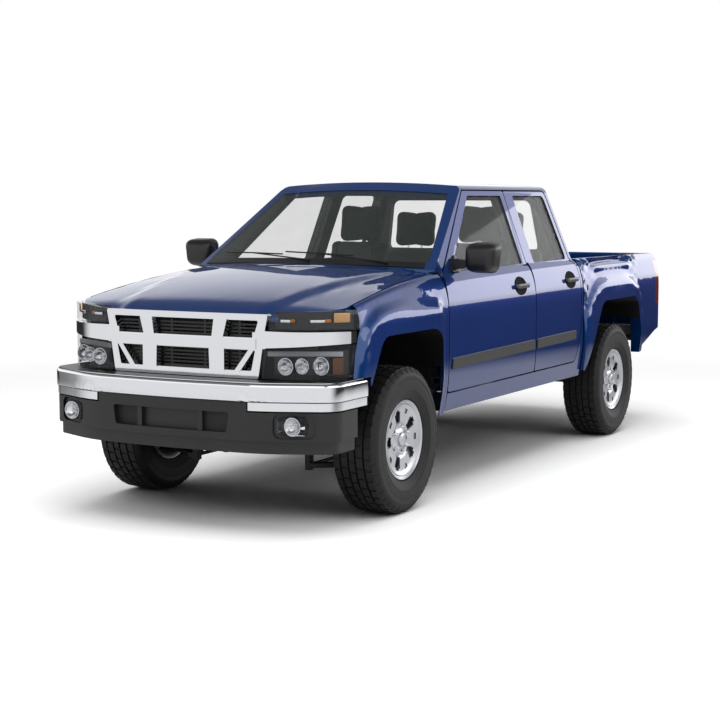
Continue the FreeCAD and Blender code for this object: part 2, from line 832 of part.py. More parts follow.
def front_structure():
    """Radiator support, inner wings and wheel-arch liners."""
    support_y = front_axle - 640
    support = prism(
        [(-700, 560, 20), (700, 560, 20), (690, 1020, 60), (-690, 1020, 60)], "XZ", support_y, support_y + 28,
    )
    support = support.cut(
        prism(
            [(-430, 610, 30), (430, 610, 30), (430, 985, 30), (-430, 985, 30)],
            "XZ",
            support_y - 5,
            support_y + 40,
        )
    )
    radiator = block(-438, 438, support_y + 4, support_y + 24, 602, 993)
    wing = [
        (support_y + 10, 560),
        (cab_front - 0.3, 560),
        (cab_front - 0.3, 1040),
        (front_axle + 150, 1040),
        (support_y + 10, 985),
    ]
    wings = both(prism(wing, "YZ", 405, 426))
    horns = []
    for low, high in ((790, 830), (1000, 1026)):
        horns += both(block(290, 320, nose_y(320) + 58.6, support_y + 6, low, high))
    return fuse([support, radiator] + wings + both(liner()) + horns)


left_fender = fender()
front_body = front_structure()
add("fenders", Part.makeCompound(both(left_fender)))
add("hood", hood())
add("front_structure", front_body)


# Bed and tailgate

bed_bottom_front = 500
bed_bottom_rear = 660
tailgate_y = bed_rear - 30
tailgate_z = s.bed_floor - 25


def bed_side():
    """Outer wall of the bed on the driver's side, filled between skin and inner wall."""
    rows = []
    for y in spread(bed_front, bed_rear, 30):
        row = []
        for z in spread(s.rocker_bottom - 10, s.bed_rail, 18):
            row.append(Vector(skin_x(z) + flare(y, z, rear_axle, 0), y, z))
        rows.append(row)
    wall = surface(rows).extrude(Vector(-150, 0, 0))
    side = [
        (bed_front, bed_bottom_front, 10),
        (rear_axle + 300, bed_bottom_front),
        (rear_axle + 560, 540),
        (rear_axle + 900, bed_bottom_rear, 60),
        (bed_rear, bed_bottom_rear + 20, 30),
        (bed_rear, s.bed_rail - 8, 16),
        (bed_front, s.bed_rail, 4),
    ]
    wall = wall.common(prism(side, "YZ", 400, 1000))
    plan = [(400, bed_front), (890, bed_front), (890, bed_rear, 95), (400, bed_rear)]
    return wall.common(prism(plan, "XY", 300, 1400))


def tail_lamp_space(margin=0.0):
    """Corner of the bed that holds the tail lamp."""
    low = block(716 - margin, 900, bed_rear - 78 - margin, bed_rear + 20, 862 - margin, 1178 + margin)
    return low


def build_bed():
    """Load bed: floor, walls, wheelhouses, corner posts and cross sills."""
    side = bed_side()
    cavity = block(0, s.bed_inside_half, bed_front + 40, bed_rear + 10, s.bed_floor, 1400)
    under = prism([(300, 300), (792, 300), (792, 770), (300, 770)], "XZ", bed_front - 5, bed_rear + 5)
    wheel_space = prism(arch(REAR_ARCH, rear_axle), "YZ", s.wheelhouse_half + 5, 1000)
    side = carve(side, [cavity, under, tail_lamp_space(0.3)])
    house = prism(arch(REAR_ARCH, rear_axle, 5), "YZ", s.wheelhouse_half, s.bed_inside_half + 6)
    below = block(0, 900, bed_front - 50, bed_rear, 0, s.bed_floor - 20)
    house = house.cut(below)
    post = block(
        s.tailgate_half + 8,
        s.bed_inside_half + 10,
        bed_rear - 62,
        bed_rear - 2,
        tailgate_z - 34,
        s.bed_rail - 10,
    )
    post = post.cut(tail_lamp_space(0.3))
    rail = block(
        s.bed_inside_half - 22,
        s.bed_inside_half + 30,
        bed_front,
        bed_rear - 20,
        s.bed_rail - 24,
        s.bed_rail - 8,
    )
    socket = rod(
        Vector(s.tailgate_half, tailgate_y, tailgate_z),
        Vector(s.tailgate_half + 32, tailgate_y, tailgate_z),
        8.4,
    )
    floor = block(
        -s.bed_inside_half - 4,
        s.bed_inside_half + 4,
        bed_front + 10,
        tailgate_y - 34,
        s.bed_floor - 20,
        s.bed_floor,
    )
    front = block(
        -s.bed_inside_half - 4,
        s.bed_inside_half + 4,
        bed_front,
        bed_front + 42,
        s.bed_floor - 20,
        s.bed_rail - 6,
    )
    sills = []
    for y in (bed_front + 60, rear_axle - 250, rear_axle + 300, tailgate_y - 100):
        sills.append(block(-540, 540, y - 30, y + 30, frame_rear_top + 0.3, s.bed_floor - 18))
    sill = block(
        -s.bed_inside_half + 10, s.bed_inside_half - 10, bed_rear - 100, bed_rear - 66, 700, s.bed_floor - 10,
    )
    ridges = []
    for index in range(15):
        x = -525 + 75 * index
        ridges.append(
            block(x - 16, x + 16, bed_front + 60, tailgate_y - 60, s.bed_floor - 1, s.bed_floor + 6)
        )
    halves = both(side) + both(house) + both(post) + both(rail)
    body = fuse([floor] + halves + [front, sill] + sills + ridges)
    return carve(body, both(wheel_space) + both(socket))


def tailgate():
    """Tailgate: a hollow-looking pressed panel with trunnions at its lower corners."""
    half = s.tailgate_half
    thick = s.tailgate_thick
    top = s.bed_rail - 8
    side = [
        (tailgate_y - thick / 2, tailgate_z - thick / 2, thick / 2 - 0.5),
        (tailgate_y + thick / 2, tailgate_z - thick / 2, thick / 2 - 0.5),
        (tailgate_y + thick / 2, top, 14),
        (tailgate_y - thick / 2, top, 8),
    ]
    panel = prism(side, "YZ", -half, half)
    recess = [
        (-half + 90, 850, 30), (half - 90, 850, 30), (half - 90, top - 70, 30), (-half + 90, top - 70, 30),
    ]
    panel = panel.cut(prism(recess, "XZ", tailgate_y - thick, tailgate_y - thick / 2 + 8))
    face_y = tailgate_y + thick / 2
    panel = panel.cut(
        prism(
            [(-110, 1098, 20), (110, 1098, 20), (110, 1168, 20), (-110, 1168, 20)],
            "XZ",
            face_y - 24,
            face_y + 5,
        )
    )
    lift = prism(
        [(-84, 1118, 8), (84, 1118, 8), (84, 1152, 8), (-84, 1152, 8)], "XZ", face_y - 26, face_y - 6,
    )
    pins = []
    for sign in (-1, 1):
        start = Vector(sign * (half - 10), tailgate_y, tailgate_z)
        pins.append(rod(start, start + Vector(sign * 38, 0, 0), 8))
    return fuse([panel, lift] + pins)


frame_rear_top = 680
add("bed", build_bed())
add("tailgate", tailgate())


# Front end

def front_slab(z_low, z_high, proud, depth, x_limit):
    """Band that follows the curve of the truck's face."""
    xs = spread(-x_limit, x_limit, 25)
    front = Part.BSplineCurve()
    front.interpolate([Vector(x, nose_y(x) - proud, z_low) for x in xs])
    back = Part.BSplineCurve()
    back.interpolate([Vector(x, nose_y(x) - proud + depth, z_low) for x in xs])
    ends = []
    for x in (-x_limit, x_limit):
        start = Vector(x, nose_y(x) - proud, z_low)
        ends.append(Part.LineSegment(start, start + Vector(0, depth, 0)).toShape())
    wire = Part.Wire(Part.__sortEdges__([front.toShape(), back.toShape()] + ends))
    return Part.Face(wire).extrude(Vector(0, 0, z_high - z_low))


face_near = front_axle - s.grille_y_ahead - 80
face_far = front_axle - 300


def face_prism(points):
    """Cutter through the truck's face, with an outline seen from the front."""
    return prism(points, "XZ", face_near, face_far)


def symmetric(points):
    """Outline made whole from its right half, listed from the bottom up."""
    return points + [(-p[0],) + tuple(p[1:]) for p in reversed(points)]


GRILLE_OUTER = symmetric([(430, 757, 12), (470, 1010), (484, 1074, 12)])


def hood_space():
    """Room kept free in the front end for the hood's nose."""
    return prism(hood_plan(0, 6), "XY", 1032, 1400)


def grille_surround():
    """Chrome grille surround with posts, middle bar and the wings between the lamps."""
    slab = front_slab(740, 1100, 0, 46, 500)
    frame = slab.common(face_prism(GRILLE_OUTER))
    upper = face_prism(symmetric([(404, 958, 8), (432, 1042, 8)]))
    lower = face_prism(symmetric([(392, 795, 10), (414, 898, 8)]))
    posts = []
    bar_low, bar_high = 903, 954
    for sign in (-1, 1):
        upper_post = [
            (sign * 172, bar_high - 4), (sign * 236, bar_high - 4), (sign * 262, 1048), (sign * 186, 1048)
        ]
        lower_post = [
            (sign * 160, 790), (sign * 244, 790), (sign * 244, bar_low + 4), (sign * 156, bar_low + 4)
        ]
        brace = [(sign * 292, 785), (sign * 326, 785), (sign * 418, 912), (sign * 388, 912)]
        posts.append(front_slab(740, 1100, 8, 40, 300).common(face_prism(upper_post)))
        posts.append(front_slab(740, 1100, 8, 40, 300).common(face_prism(lower_post)))
        posts.append(front_slab(770, 920, 2, 30, 430).common(face_prism(brace)))
    frame = carve(frame, [upper, lower])
    bar = front_slab(bar_low, bar_high, 12, 44, 420)
    wing_shape = [(452, 908, 6), (s.lamp_half + 6, 932, 10), (s.lamp_half + 12, 990, 10), (464, 992, 6)]
    wing = front_slab(880, 1010, 6, 56, s.lamp_half).common(face_prism(wing_shape))
    join = front_slab(900, 985, 2, 42, 470)
    join = join.common(face_prism([(400, 905), (470, 905), (470, 985), (400, 985)]))
    whole = fuse([frame, bar, wing, flip(wing), join, flip(join)] + posts)
    return whole.cut(hood_space())


def grille_insert():
    """Black louvred insert behind the chrome."""
    back = front_slab(745, 1080, -46.3, 12, 480).common(face_prism(symmetric([(425, 765), (474, 1066)])))
    slots = []
    z = 806
    while z < 1040:
        slots.append(block(-430, 430, face_near, face_far, z, z + 9))
        z += 18
    ribs = []
    for x in (-300, -100, 100, 300):
        ribs.append(
            front_slab(775, 1060, -47, 10, 480).common(block(x - 6, x + 6, face_near, face_far, 775, 1060))
        )
    return fuse([carve(back, slots)] + ribs).cut(hood_space())


def lamp_set():
    """Head, fog and tail lamps on the driver's side."""
    outer = s.lamp_half + 12
    upper_shape = [
        (488, 998, 8),
        (outer, 996, 12),
        (outer, 1058, 14),
        (outer - 30, 1092, 18),
        (650, 1090, 40),
        (492, 1074, 8),
    ]
    lower_shape = [(448, 762, 8), (outer - 24, 756, 12), (outer, 925, 10), (462, 900, 8)]
    slab = front_slab(740, 1100, 0, 95, s.lamp_half).cut(front_body)
    upper = carve(slab.common(face_prism(upper_shape)), [hood_space(), left_fender])
    lower = slab.common(face_prism(lower_shape)).cut(left_fender)
    fog = prism(
        [(585, 496, 30), (722, 496, 30), (722, 594, 30), (585, 594, 30)],
        "XZ",
        front_axle - 900,
        front_axle - 700,
    )
    fog = fog.common(fascia_band(470, 620, -14, 60))
    tail = bed_side().common(tail_lamp_space())
    return [upper, lower, fog, tail]


def bumper_outline(z):
    """Bumper's outer line seen from above, closed well behind its ends."""
    front = front_axle - s.front_overhang
    end = front_axle - 30
    half = [
        (858, end),
        (858, front + 190, 130),
        (520, front + 38, 700),
    ]
    other = [(-p[0],) + tuple(p[1:]) for p in reversed(half)]
    return outline(half + [(0, front, 3200)] + other, "XY", z)


def bumper_band(z_low, z_high, proud, depth, end_back=0.0):
    """Band that follows the bumper's line round both corners."""
    line = bumper_outline(z_low)
    outer = Part.Face(line.makeOffset2D(proud)) if proud else Part.Face(line)
    inner = Part.Face(line.makeOffset2D(proud - depth))
    up = Vector(0, 0, z_high - z_low)
    band = outer.extrude(up).cut(inner.extrude(up))
    end = front_axle - 435 - end_back
    return band.cut(block(-1000, 1000, end, front_axle + 200, z_low - 10, z_high + 10))


def fascia_band(z_low, z_high, proud, depth):
    """Band of the lower fascia, whose ends stop short of the tyres."""
    return bumper_band(z_low, z_high, proud, depth, 92)


def rounded_front(band, z, radius):
    """Band with its outer edge at one height rounded over."""
    edges = []
    for edge in band.Edges:
        box = edge.BoundBox
        flat = abs(box.ZMin - z) < 0.1 and abs(box.ZMax - z) < 0.1
        middle = edge.valueAt((edge.FirstParameter + edge.LastParameter) / 2)
        near = edge.distToShape(bumper_outline(z))[0] < 0.01
        if flat and near and middle.y < front_axle - 445:
            edges.append(edge)
    return band.makeFillet(radius, edges)


def front_bumper():
    """Chrome bumper: face bar, turned top and the small lip below its ends."""
    face = bumper_band(s.chrome_bottom, s.chrome_top, 0, 26)
    face = rounded_front(face, s.chrome_top, 20)
    face = rounded_front(face, s.chrome_bottom, 9)
    top = bumper_band(s.chrome_top - 14, s.chrome_top + 2, -12, 120)
    lip = bumper_band(618, s.chrome_bottom + 2, -6, 20)
    lip = lip.cut(block(-s.lip_start, s.lip_start, -4000, front_axle, 600, 700))
    front = front_axle - s.front_overhang
    arm = block(330, 380, front + 34, front_axle - 760, s.chrome_bottom + 0.5, s.chrome_bottom + 40)
    foot = block(330, 380, front + 73, front_axle - 760, 552.3, s.chrome_bottom + 2)
    return fuse([face, top, lip] + both(arm) + both(foot))


def front_fascia():
    """Dark lower fascia with the air intake, lamp pockets and bottom lip."""
    upper = fascia_band(470, s.chrome_bottom - 0.3, -9, 34)
    lower = fascia_band(s.fascia_bottom, 474, -26, 60)
    body = upper.fuse(lower)
    lip_space = bumper_band(610, 700, 10, 60)
    lip_space = lip_space.cut(block(8 - s.lip_start, s.lip_start - 8, -4000, front_axle, 600, 720))
    intake = prism(symmetric([(330, 506, 14), (346, 604, 14)]), "XZ", front_axle - 1100, front_axle - 700)
    lamp_pocket = prism(
        [(570, 484, 34), (760, 484, 34), (760, 606, 34), (570, 606, 34)],
        "XZ",
        front_axle - 1100,
        front_axle - 700,
    )
    lamp_hold = prism(
        [(584.7, 495.7, 30), (722.3, 495.7, 30), (722.3, 594.3, 30), (584.7, 594.3, 30)],
        "XZ",
        front_axle - 1100,
        front_axle - 600,
    )
    front_part = fascia_band(460, 640, 10, 32)
    pocket = lamp_pocket.common(front_part)
    body = carve(body, [intake, lip_space] + both(pocket) + both(lamp_hold))
    ribs = []
    for x in (-180, 180):
        ribs.append(fascia_band(500, 610, -16, 27).common(block(x - 14, x + 14, -4000, front_axle, 500, 610)))
    back = fascia_band(500, 612, -38, 6).common(block(-350, 350, -4000, front_axle, 500, 612))
    return fuse([body, back] + ribs)


add("grille_surround", grille_surround())
add("grille_insert", grille_insert())
lamps = lamp_set()
add("lamps", Part.makeCompound(lamps + [flip(lamp) for lamp in lamps]))
add("front_bumper", front_bumper())
add("front_fascia", front_fascia())


# Chassis: frame, axles, suspension and powertrain

def frame_rails():
    """Ladder frame: two rails that rise over the rear axle, cross members and mounts."""
    side = [
        (front_axle - 805, 455),
        (cab_front - 30, 455, 80),
        (cab_front + 120, 425, 80),
        (rear_axle - 570, 425, 160),
        (rear_axle - 310, 585, 160),
        (rear_axle + 1030, 585),
        (rear_axle + 1030, frame_rear_top),
        (rear_axle - 340, frame_rear_top, 160),
        (rear_axle - 600, 535, 160),
        (cab_front + 60, 535, 80),
        (cab_front - 90, 552, 80),
        (front_axle - 805, 552),
    ]
    inner = s.rail_outer - s.rail_width
    rail = prism(side, "YZ", inner, s.rail_outer)
    crosses = [
        block(-inner - 5, inner + 5, front_axle - 800, front_axle - 745, 470, 545),
        block(-s.rail_outer + 20, s.rail_outer - 20, front_axle - 80, front_axle + 80, 292, 330),
        block(-s.rail_outer + 5, s.rail_outer - 5, front_axle + 1050, front_axle + 1110, 352, 394.7),
        block(-inner - 5, inner + 5, rear_axle - 980, rear_axle - 920, 500, 532),
        block(-inner - 5, inner + 5, rear_axle - 290, rear_axle - 240, 600, 670),
        block(-inner - 5, inner + 5, rear_axle + 420, rear_axle + 480, 605, 670),
        block(-inner - 5, inner + 5, rear_axle + 600, rear_axle + 660, 600, 670),
        block(-inner - 5, inner + 5, rear_axle + 960, rear_axle + 1028, 596, 672),
    ]
    crosses += both(block(inner, s.rail_outer - 5, front_axle + 1050, front_axle + 1110, 380, 430))
    # Engine mounts reach in from the rails
    crosses += both(block(250.3, inner + 5, front_axle - 40, front_axle + 40, 475, 540))
    towers = []
    for x in (s.rail_outer - 45, -s.rail_outer + 20):
        tower = block(x, x + 25, front_axle - 80, front_axle + 80, 292, 460)
        shaft_hole = rod(
            Vector(x - 5, front_axle, s.axle_height - 3), Vector(x + 30, front_axle, s.axle_height - 3), 30,
        )
        towers.append(tower.cut(shaft_hole))
    arms = []
    for sign in (-1, 1):
        for y in (front_axle - 150, front_axle + 150):
            low = block(-14, 14, y - 22, y + 22, 212, 458)
            low.translate(Vector(sign * (s.rail_outer - 30), 0, 0))
            arms.append(low)
            high = block(-14, 14, y * 1.0 - 18, y + 18, 505, 556)
            high.translate(Vector(sign * (s.rail_outer + 2), 0, 0))
            arms.append(high)
    pads = []
    for sign in (-1, 1):
        for y in (cab_front + 150, front_axle + 1300, cab_rear - 160):
            start = Vector(sign * (s.rail_outer - 30), y, 520)
            pads.append(rod(start, start + Vector(0, 0, s.floor_height - s.floor_thick - 0.3 - 520), 34))
    hangers = []
    for sign in (-1, 1):
        for y, z_low, z_top in ((rear_axle - 640, 440, 554), (rear_axle + 650, 505, 600)):
            hanger = block(-4, 76, y - 26, y + 26, z_low, z_top)
            if sign < 0:
                hanger = flip(hanger)
            hanger.translate(Vector(sign * (s.rail_outer - 2), 0, 0))
            hangers.append(hanger)
    return fuse(both(rail) + crosses + towers + arms + pads + hangers)


def rear_axle_set():
    """Rear axle with its springs, brake drums and dampers."""
    height = s.axle_height
    centre = Vector(0, rear_axle, height)
    tube = rod(Vector(-655, rear_axle, height), Vector(655, rear_axle, height), 40)
    housing = rod(Vector(60, rear_axle + 60, height), Vector(60, rear_axle - 130, height), 128)
    nose = rod(Vector(60, rear_axle - 120, height + 10), Vector(60, rear_axle - 240, height + 14), 46)
    parts = [tube, housing, nose]
    for sign in (-1, 1):
        drum = rod(Vector(sign * 650, rear_axle, height), Vector(sign * 722, rear_axle, height), 142)
        spindle = rod(
            Vector(sign * 720, rear_axle, height),
            Vector(sign * (wheel_x + 72), rear_axle, height),
            s.spindle_radius,
        )
        parts += [drum, spindle]
        leaf = [
            (rear_axle - 640, 474),
            (rear_axle - 320, 434, 400),
            (rear_axle, 424, 600),
            (rear_axle + 330, 446, 400),
            (rear_axle + 650, 532),
            (rear_axle + 650, 546),
            (rear_axle + 330, 470, 400),
            (rear_axle, 458, 600),
            (rear_axle - 320, 460, 400),
            (rear_axle - 640, 488),
        ]
        spring = prism(leaf, "YZ", -32, 32)
        spring.translate(Vector(sign * (s.rail_outer + 40), 0, 0))
        seat = block(-36, 36, rear_axle - 55, rear_axle + 55, height, 428)
        seat.translate(Vector(sign * (s.rail_outer + 40), 0, 0))
        clamp = block(-40, 40, rear_axle - 70, rear_axle + 70, 455, 478)
        clamp.translate(Vector(sign * (s.rail_outer + 40), 0, 0))
        parts += [spring, seat, clamp]
        damper_low = Vector(sign * 290, rear_axle + sign * 20, height)
        damper_high = Vector(sign * 290, rear_axle + sign * 330, 610)
        parts.append(rod(damper_low, damper_high, 26))
    return fuse(parts).cut(frame)


def front_suspension():
    """Lower and upper control arms, half shafts and dampers of the front axle."""
    parts = []
    y = front_axle
    for sign in (-1, 1):
        lower = [
            (sign * 345, y - 172, 14),
            (sign * 400, y - 172, 14),
            (sign * 560, y - 44, 60),
            (sign * (s.kingpin_half + 8), y - 30, 20),
            (sign * (s.kingpin_half + 8), y + 30, 20),
            (sign * 560, y + 44, 60),
            (sign * 400, y + 172, 14),
            (sign * 345, y + 172, 14),
            (sign * 345, y + 120, 10),
            (sign * 400, y + 110, 20),
            (sign * 470, y + 30, 20),
            (sign * 470, y - 30, 20),
            (sign * 400, y - 110, 20),
            (sign * 345, y - 120, 10),
        ]
        parts.append(prism(lower, "XY", 226, 250))
        upper = [
            (sign * 400, y - 166, 10),
            (sign * 430, y - 166, 10),
            (sign * 590, y - 34, 50),
            (sign * (s.kingpin_half + 6), y - 24, 16),
            (sign * (s.kingpin_half + 6), y + 24, 16),
            (sign * 590, y + 34, 50),
            (sign * 430, y + 166, 10),
            (sign * 400, y + 166, 10),
            (sign * 400, y + 134, 10),
            (sign * 500, y + 30, 20),
            (sign * 500, y - 30, 20),
            (sign * 400, y - 134, 10),
        ]
        parts.append(prism(upper, "XY", 530, 546))
        for z_start, z_end in ((240, 268), (503, 534)):
            parts.append(
                rod(Vector(sign * s.kingpin_half, y, z_start), Vector(sign * s.kingpin_half, y, z_end), 11)
            )
        parts.append(rod(Vector(sign * 120, y, s.axle_height - 6), Vector(sign * 628, y, s.axle_height), 16))
        damper_low = Vector(sign * 520, y - 34, 240)
        damper_high = Vector(sign * 500, y - 34, 536)
        parts.append(rod(damper_low, damper_high, 22))
        bush_low = Vector(sign * 357, y - 168, 238)
        parts.append(rod(bush_low, bush_low + Vector(0, 336, 0), 10))
    differential = rod(Vector(-140, y, s.axle_height - 6), Vector(140, y, s.axle_height - 6), 60)
    return fuse(parts + [differential]).cut(frame)


def knuckle():
    """Front knuckle on the driver's side: upright, brake disc, spindle and steering arm."""
    y = front_axle
    z = s.axle_height
    upright = [
        (s.kingpin_half - 26, 262, 10),
        (s.kingpin_half + 26, 262, 10),
        (s.kingpin_half + 30, z),
        (s.kingpin_half + 26, 512, 10),
        (s.kingpin_half - 26, 512, 10),
        (s.kingpin_half - 34, z),
    ]
    body = prism(upright, "XZ", y - 32, y + 32)
    arm = prism(
        [
            (s.kingpin_half - 20, y),
            (s.kingpin_half + 16, y),
            (s.kingpin_half - 40, y + 130, 12),
            (s.kingpin_half - 66, y + 130, 12),
        ],
        "XY",
        z - 62,
        z - 40,
    )
    disc = rod(Vector(s.kingpin_half + 22, y, z), Vector(wheel_x + 11, y, z), 62)
    rotor = rod(Vector(wheel_x - 22, y, z), Vector(wheel_x + 0, y, z), 146)
    spindle = rod(Vector(wheel_x, y, z), Vector(wheel_x + 72, y, z), s.spindle_radius)
    caliper = prism(
        [
            (wheel_x - 44, y - 60, 10),
            (wheel_x + 14, y - 60, 10),
            (wheel_x + 14, y + 60, 10),
            (wheel_x - 44, y + 60, 10),
        ],
        "XY",
        z + 90,
        z + 132,
    )
    hold = block(s.kingpin_half - 10, wheel_x - 30, y - 30, y + 30, z + 80, z + 120)
    body = fuse([body, arm, disc, rotor, spindle, caliper, hold])
    for low, high in ((220, 268.5), (502.5, 560)):
        body = body.cut(rod(Vector(s.kingpin_half, y, low), Vector(s.kingpin_half, y, high), 11.05))
    return body


def powertrain():
    """Engine, gearbox, transfer case and propeller shafts."""
    engine = prism(
        [(-250, 470, 30), (250, 470, 30), (250, 980, 60), (150, 1040, 60), (-150, 1040, 60), (-250, 980, 60)],
        "XZ",
        front_axle - 330,
        front_axle + 330,
    )
    gearbox = rod(Vector(0, front_axle + 320, 560), Vector(0, front_axle + 1000, 500), 115)
    gearbox = gearbox.common(block(-160, 160, front_axle + 300, front_axle + 1010, 380, 660))
    transfer = block(-120, 150, front_axle + 990, front_axle + 1210, 395, 545)
    rear_shaft = rod(
        Vector(60, front_axle + 1200, 470), Vector(60, rear_axle - 240.3, s.axle_height + 14), 38,
    )
    front_shaft = rod(
        Vector(-100, front_axle + 1000, 430), Vector(-100, front_axle + 60.3, s.axle_height - 4), 24,
    )
    support = block(-60, 60, front_axle + 975, front_axle + 1015, 500, 540)
    return fuse([engine, gearbox, transfer, rear_shaft, front_shaft, support])


def exhaust():
    """Exhaust pipe, silencer and tail pipe along the passenger's side."""
    y = front_axle
    route = [
        Vector(-277.3, y + 180, 520),
        Vector(-277.3, y + 320, 500),
        Vector(-255, y + 700, 318),
        Vector(-235, y + 1250, 318),
        Vector(-235, y + 1500, 372),
    ]
    pieces = []
    for start, end in zip(route, route[1:]):
        pieces.append(rod(start, end, 27))
        pieces.append(Part.makeSphere(27, end))
    silencer = rod(Vector(-235, y + 1480, 372), Vector(-235, y + 2080, 372), 84)
    rear = [
        Vector(-235, y + 2060, 372),
        Vector(-300, rear_axle - 1000, 372),
        Vector(-530, rear_axle - 780, 372),
        Vector(-530, rear_axle - 210, 520),
        Vector(-530, rear_axle + 210, 520),
        Vector(-545, rear_axle + 640, 470),
    ]
    for start, end in zip(rear, rear[1:]):
        pieces.append(rod(start, end, 27))
        pieces.append(Part.makeSphere(27, end))
    hanger = block(-324.7, -228, y + 1700, y + 1720, 400, 470)
    return fuse(pieces + [silencer, hanger])


def fuel_tank():
    """Fuel tank inside the driver's side rail."""
    shape = prism(
        [(106, 330, 40), (324.7, 330, 40), (324.7, 548, 40), (106, 548, 40)],
        "XZ",
        rear_axle - 1560,
        rear_axle - 1000,
    )
    return shape


frame = frame_rails()
add("frame", frame)
add("rear_axle", rear_axle_set())
add("front_suspension", front_suspension())
left_knuckle = knuckle()
add("knuckle_left", left_knuckle)
add("knuckle_right", flip(left_knuckle))
add("powertrain", powertrain())
add("exhaust", exhaust())
add("fuel_tank", fuel_tank())


# Wheels and other turned or padded pieces, each a body with its own sketches

def new_body(label):
    """An empty body under its node's name."""
    body = doc.addObject("PartDesign::Body", label)
    body.Label = label
    nodes[label] = body
    return body


def sketch_on(body, role, name):
    """Sketch on one of the body's own origin planes."""
    sketch = body.newObject("Sketcher::SketchObject", name)
    plane = [item for item in body.Origin.OriginFeatures if item.Role == role][0]
    sketch.AttachmentSupport = (plane, [""])
    sketch.MapMode = "FlatFace"
    return sketch


def closed_profile(sketch, points):
    """Closed line through points, each held by its distances from the origin.

    A distance is a number, or a number with the sheet's expression for it.
    """
    values = [[entry[0] if isinstance(entry, tuple) else entry for entry in place] for place in points]
    count = len(points)
    for index in range(count):
        start = Vector(values[index][0], values[index][1], 0)
        end = Vector(values[(index + 1) % count][0], values[(index + 1) % count][1], 0)
        sketch.addGeometry(Part.LineSegment(start, end), False)
    for index in range(count):
        sketch.addConstraint(Sketcher.Constraint("Coincident", index, 2, (index + 1) % count, 1))
    for index, place in enumerate(points):
        for kind, entry in (("DistanceX", place[0]), ("DistanceY", place[1])):
            value = entry[0] if isinstance(entry, tuple) else entry
            row = sketch.addConstraint(Sketcher.Constraint(kind, -1, 1, index, 1, float(value)))
            if isinstance(entry, tuple):
                sketch.setExpression(f"Constraints[{row}]", entry[1])


def turned(body, profile, axis):
    """Revolve a sketch fully about one of its own axes."""
    revolution = body.newObject("PartDesign::Revolution", profile.Name + "_turned")
    revolution.Profile = profile
    revolution.ReferenceAxis = (profile, [axis])
    revolution.Angle = 360.0
    return revolution


def place(body, x, y, z, turn=0.0, about=Vector(0, 0, 1)):
    """Move a finished body to its place on the truck."""
    body.Placement = Placement(Vector(x, y, z), Rotation(about, turn))


def from_size(alias, factor=1.0, offset=0.0):
    """Value and sheet expression for a size, scaled and shifted."""
    value = getattr(s, alias) * factor + offset
    return (value, f"Sizes.{alias} * {factor} + {offset}")


def tyre(label):
    """Tyre: carcass with shoulders and beads, turned about its axle line."""
    body = new_body(label)
    profile = sketch_on(body, "XY_Plane", label + "_profile")
    half = []
    half.append((from_size("rim_width", 0.5, -8.3), from_size("rim_radius", 1, -15)))
    half.append((from_size("rim_width", 0.5, -8.3), from_size("rim_radius", 1, 3)))
    half.append((from_size("tyre_width", 0.5, -6), from_size("rim_radius", 1, 36)))
    half.append((from_size("tyre_width", 0.5), from_size("rim_radius", 1, 90)))
    half.append((from_size("tyre_width", 0.5, -7), from_size("tyre_radius", 1, -42)))
    half.append((from_size("tread_width", 0.5), from_size("tyre_radius", 1, -12)))
    half.append((from_size("tread_width", 0.5, -14), from_size("tyre_radius", 1, -2.5)))
    half.append((from_size("tread_width", 0.18), from_size("tyre_radius")))
    inner = []
    inner.append((from_size("tread_width", 0.5, -8), from_size("tyre_radius", 1, -18)))
    inner.append((from_size("tyre_width", 0.5, -14), from_size("rim_radius", 1, 92)))
    inner.append((from_size("rim_width", 0.5, -24), from_size("rim_radius", 1, -15)))

    def other(entry):
        return ((-entry[0][0], f"-({entry[0][1]})"), entry[1])

    outside = half + [other(entry) for entry in reversed(half)]
    inside = [other(entry) for entry in reversed(inner)] + inner
    closed_profile(profile, outside + inside)
    turned(body, profile, "H_Axis")
    return body


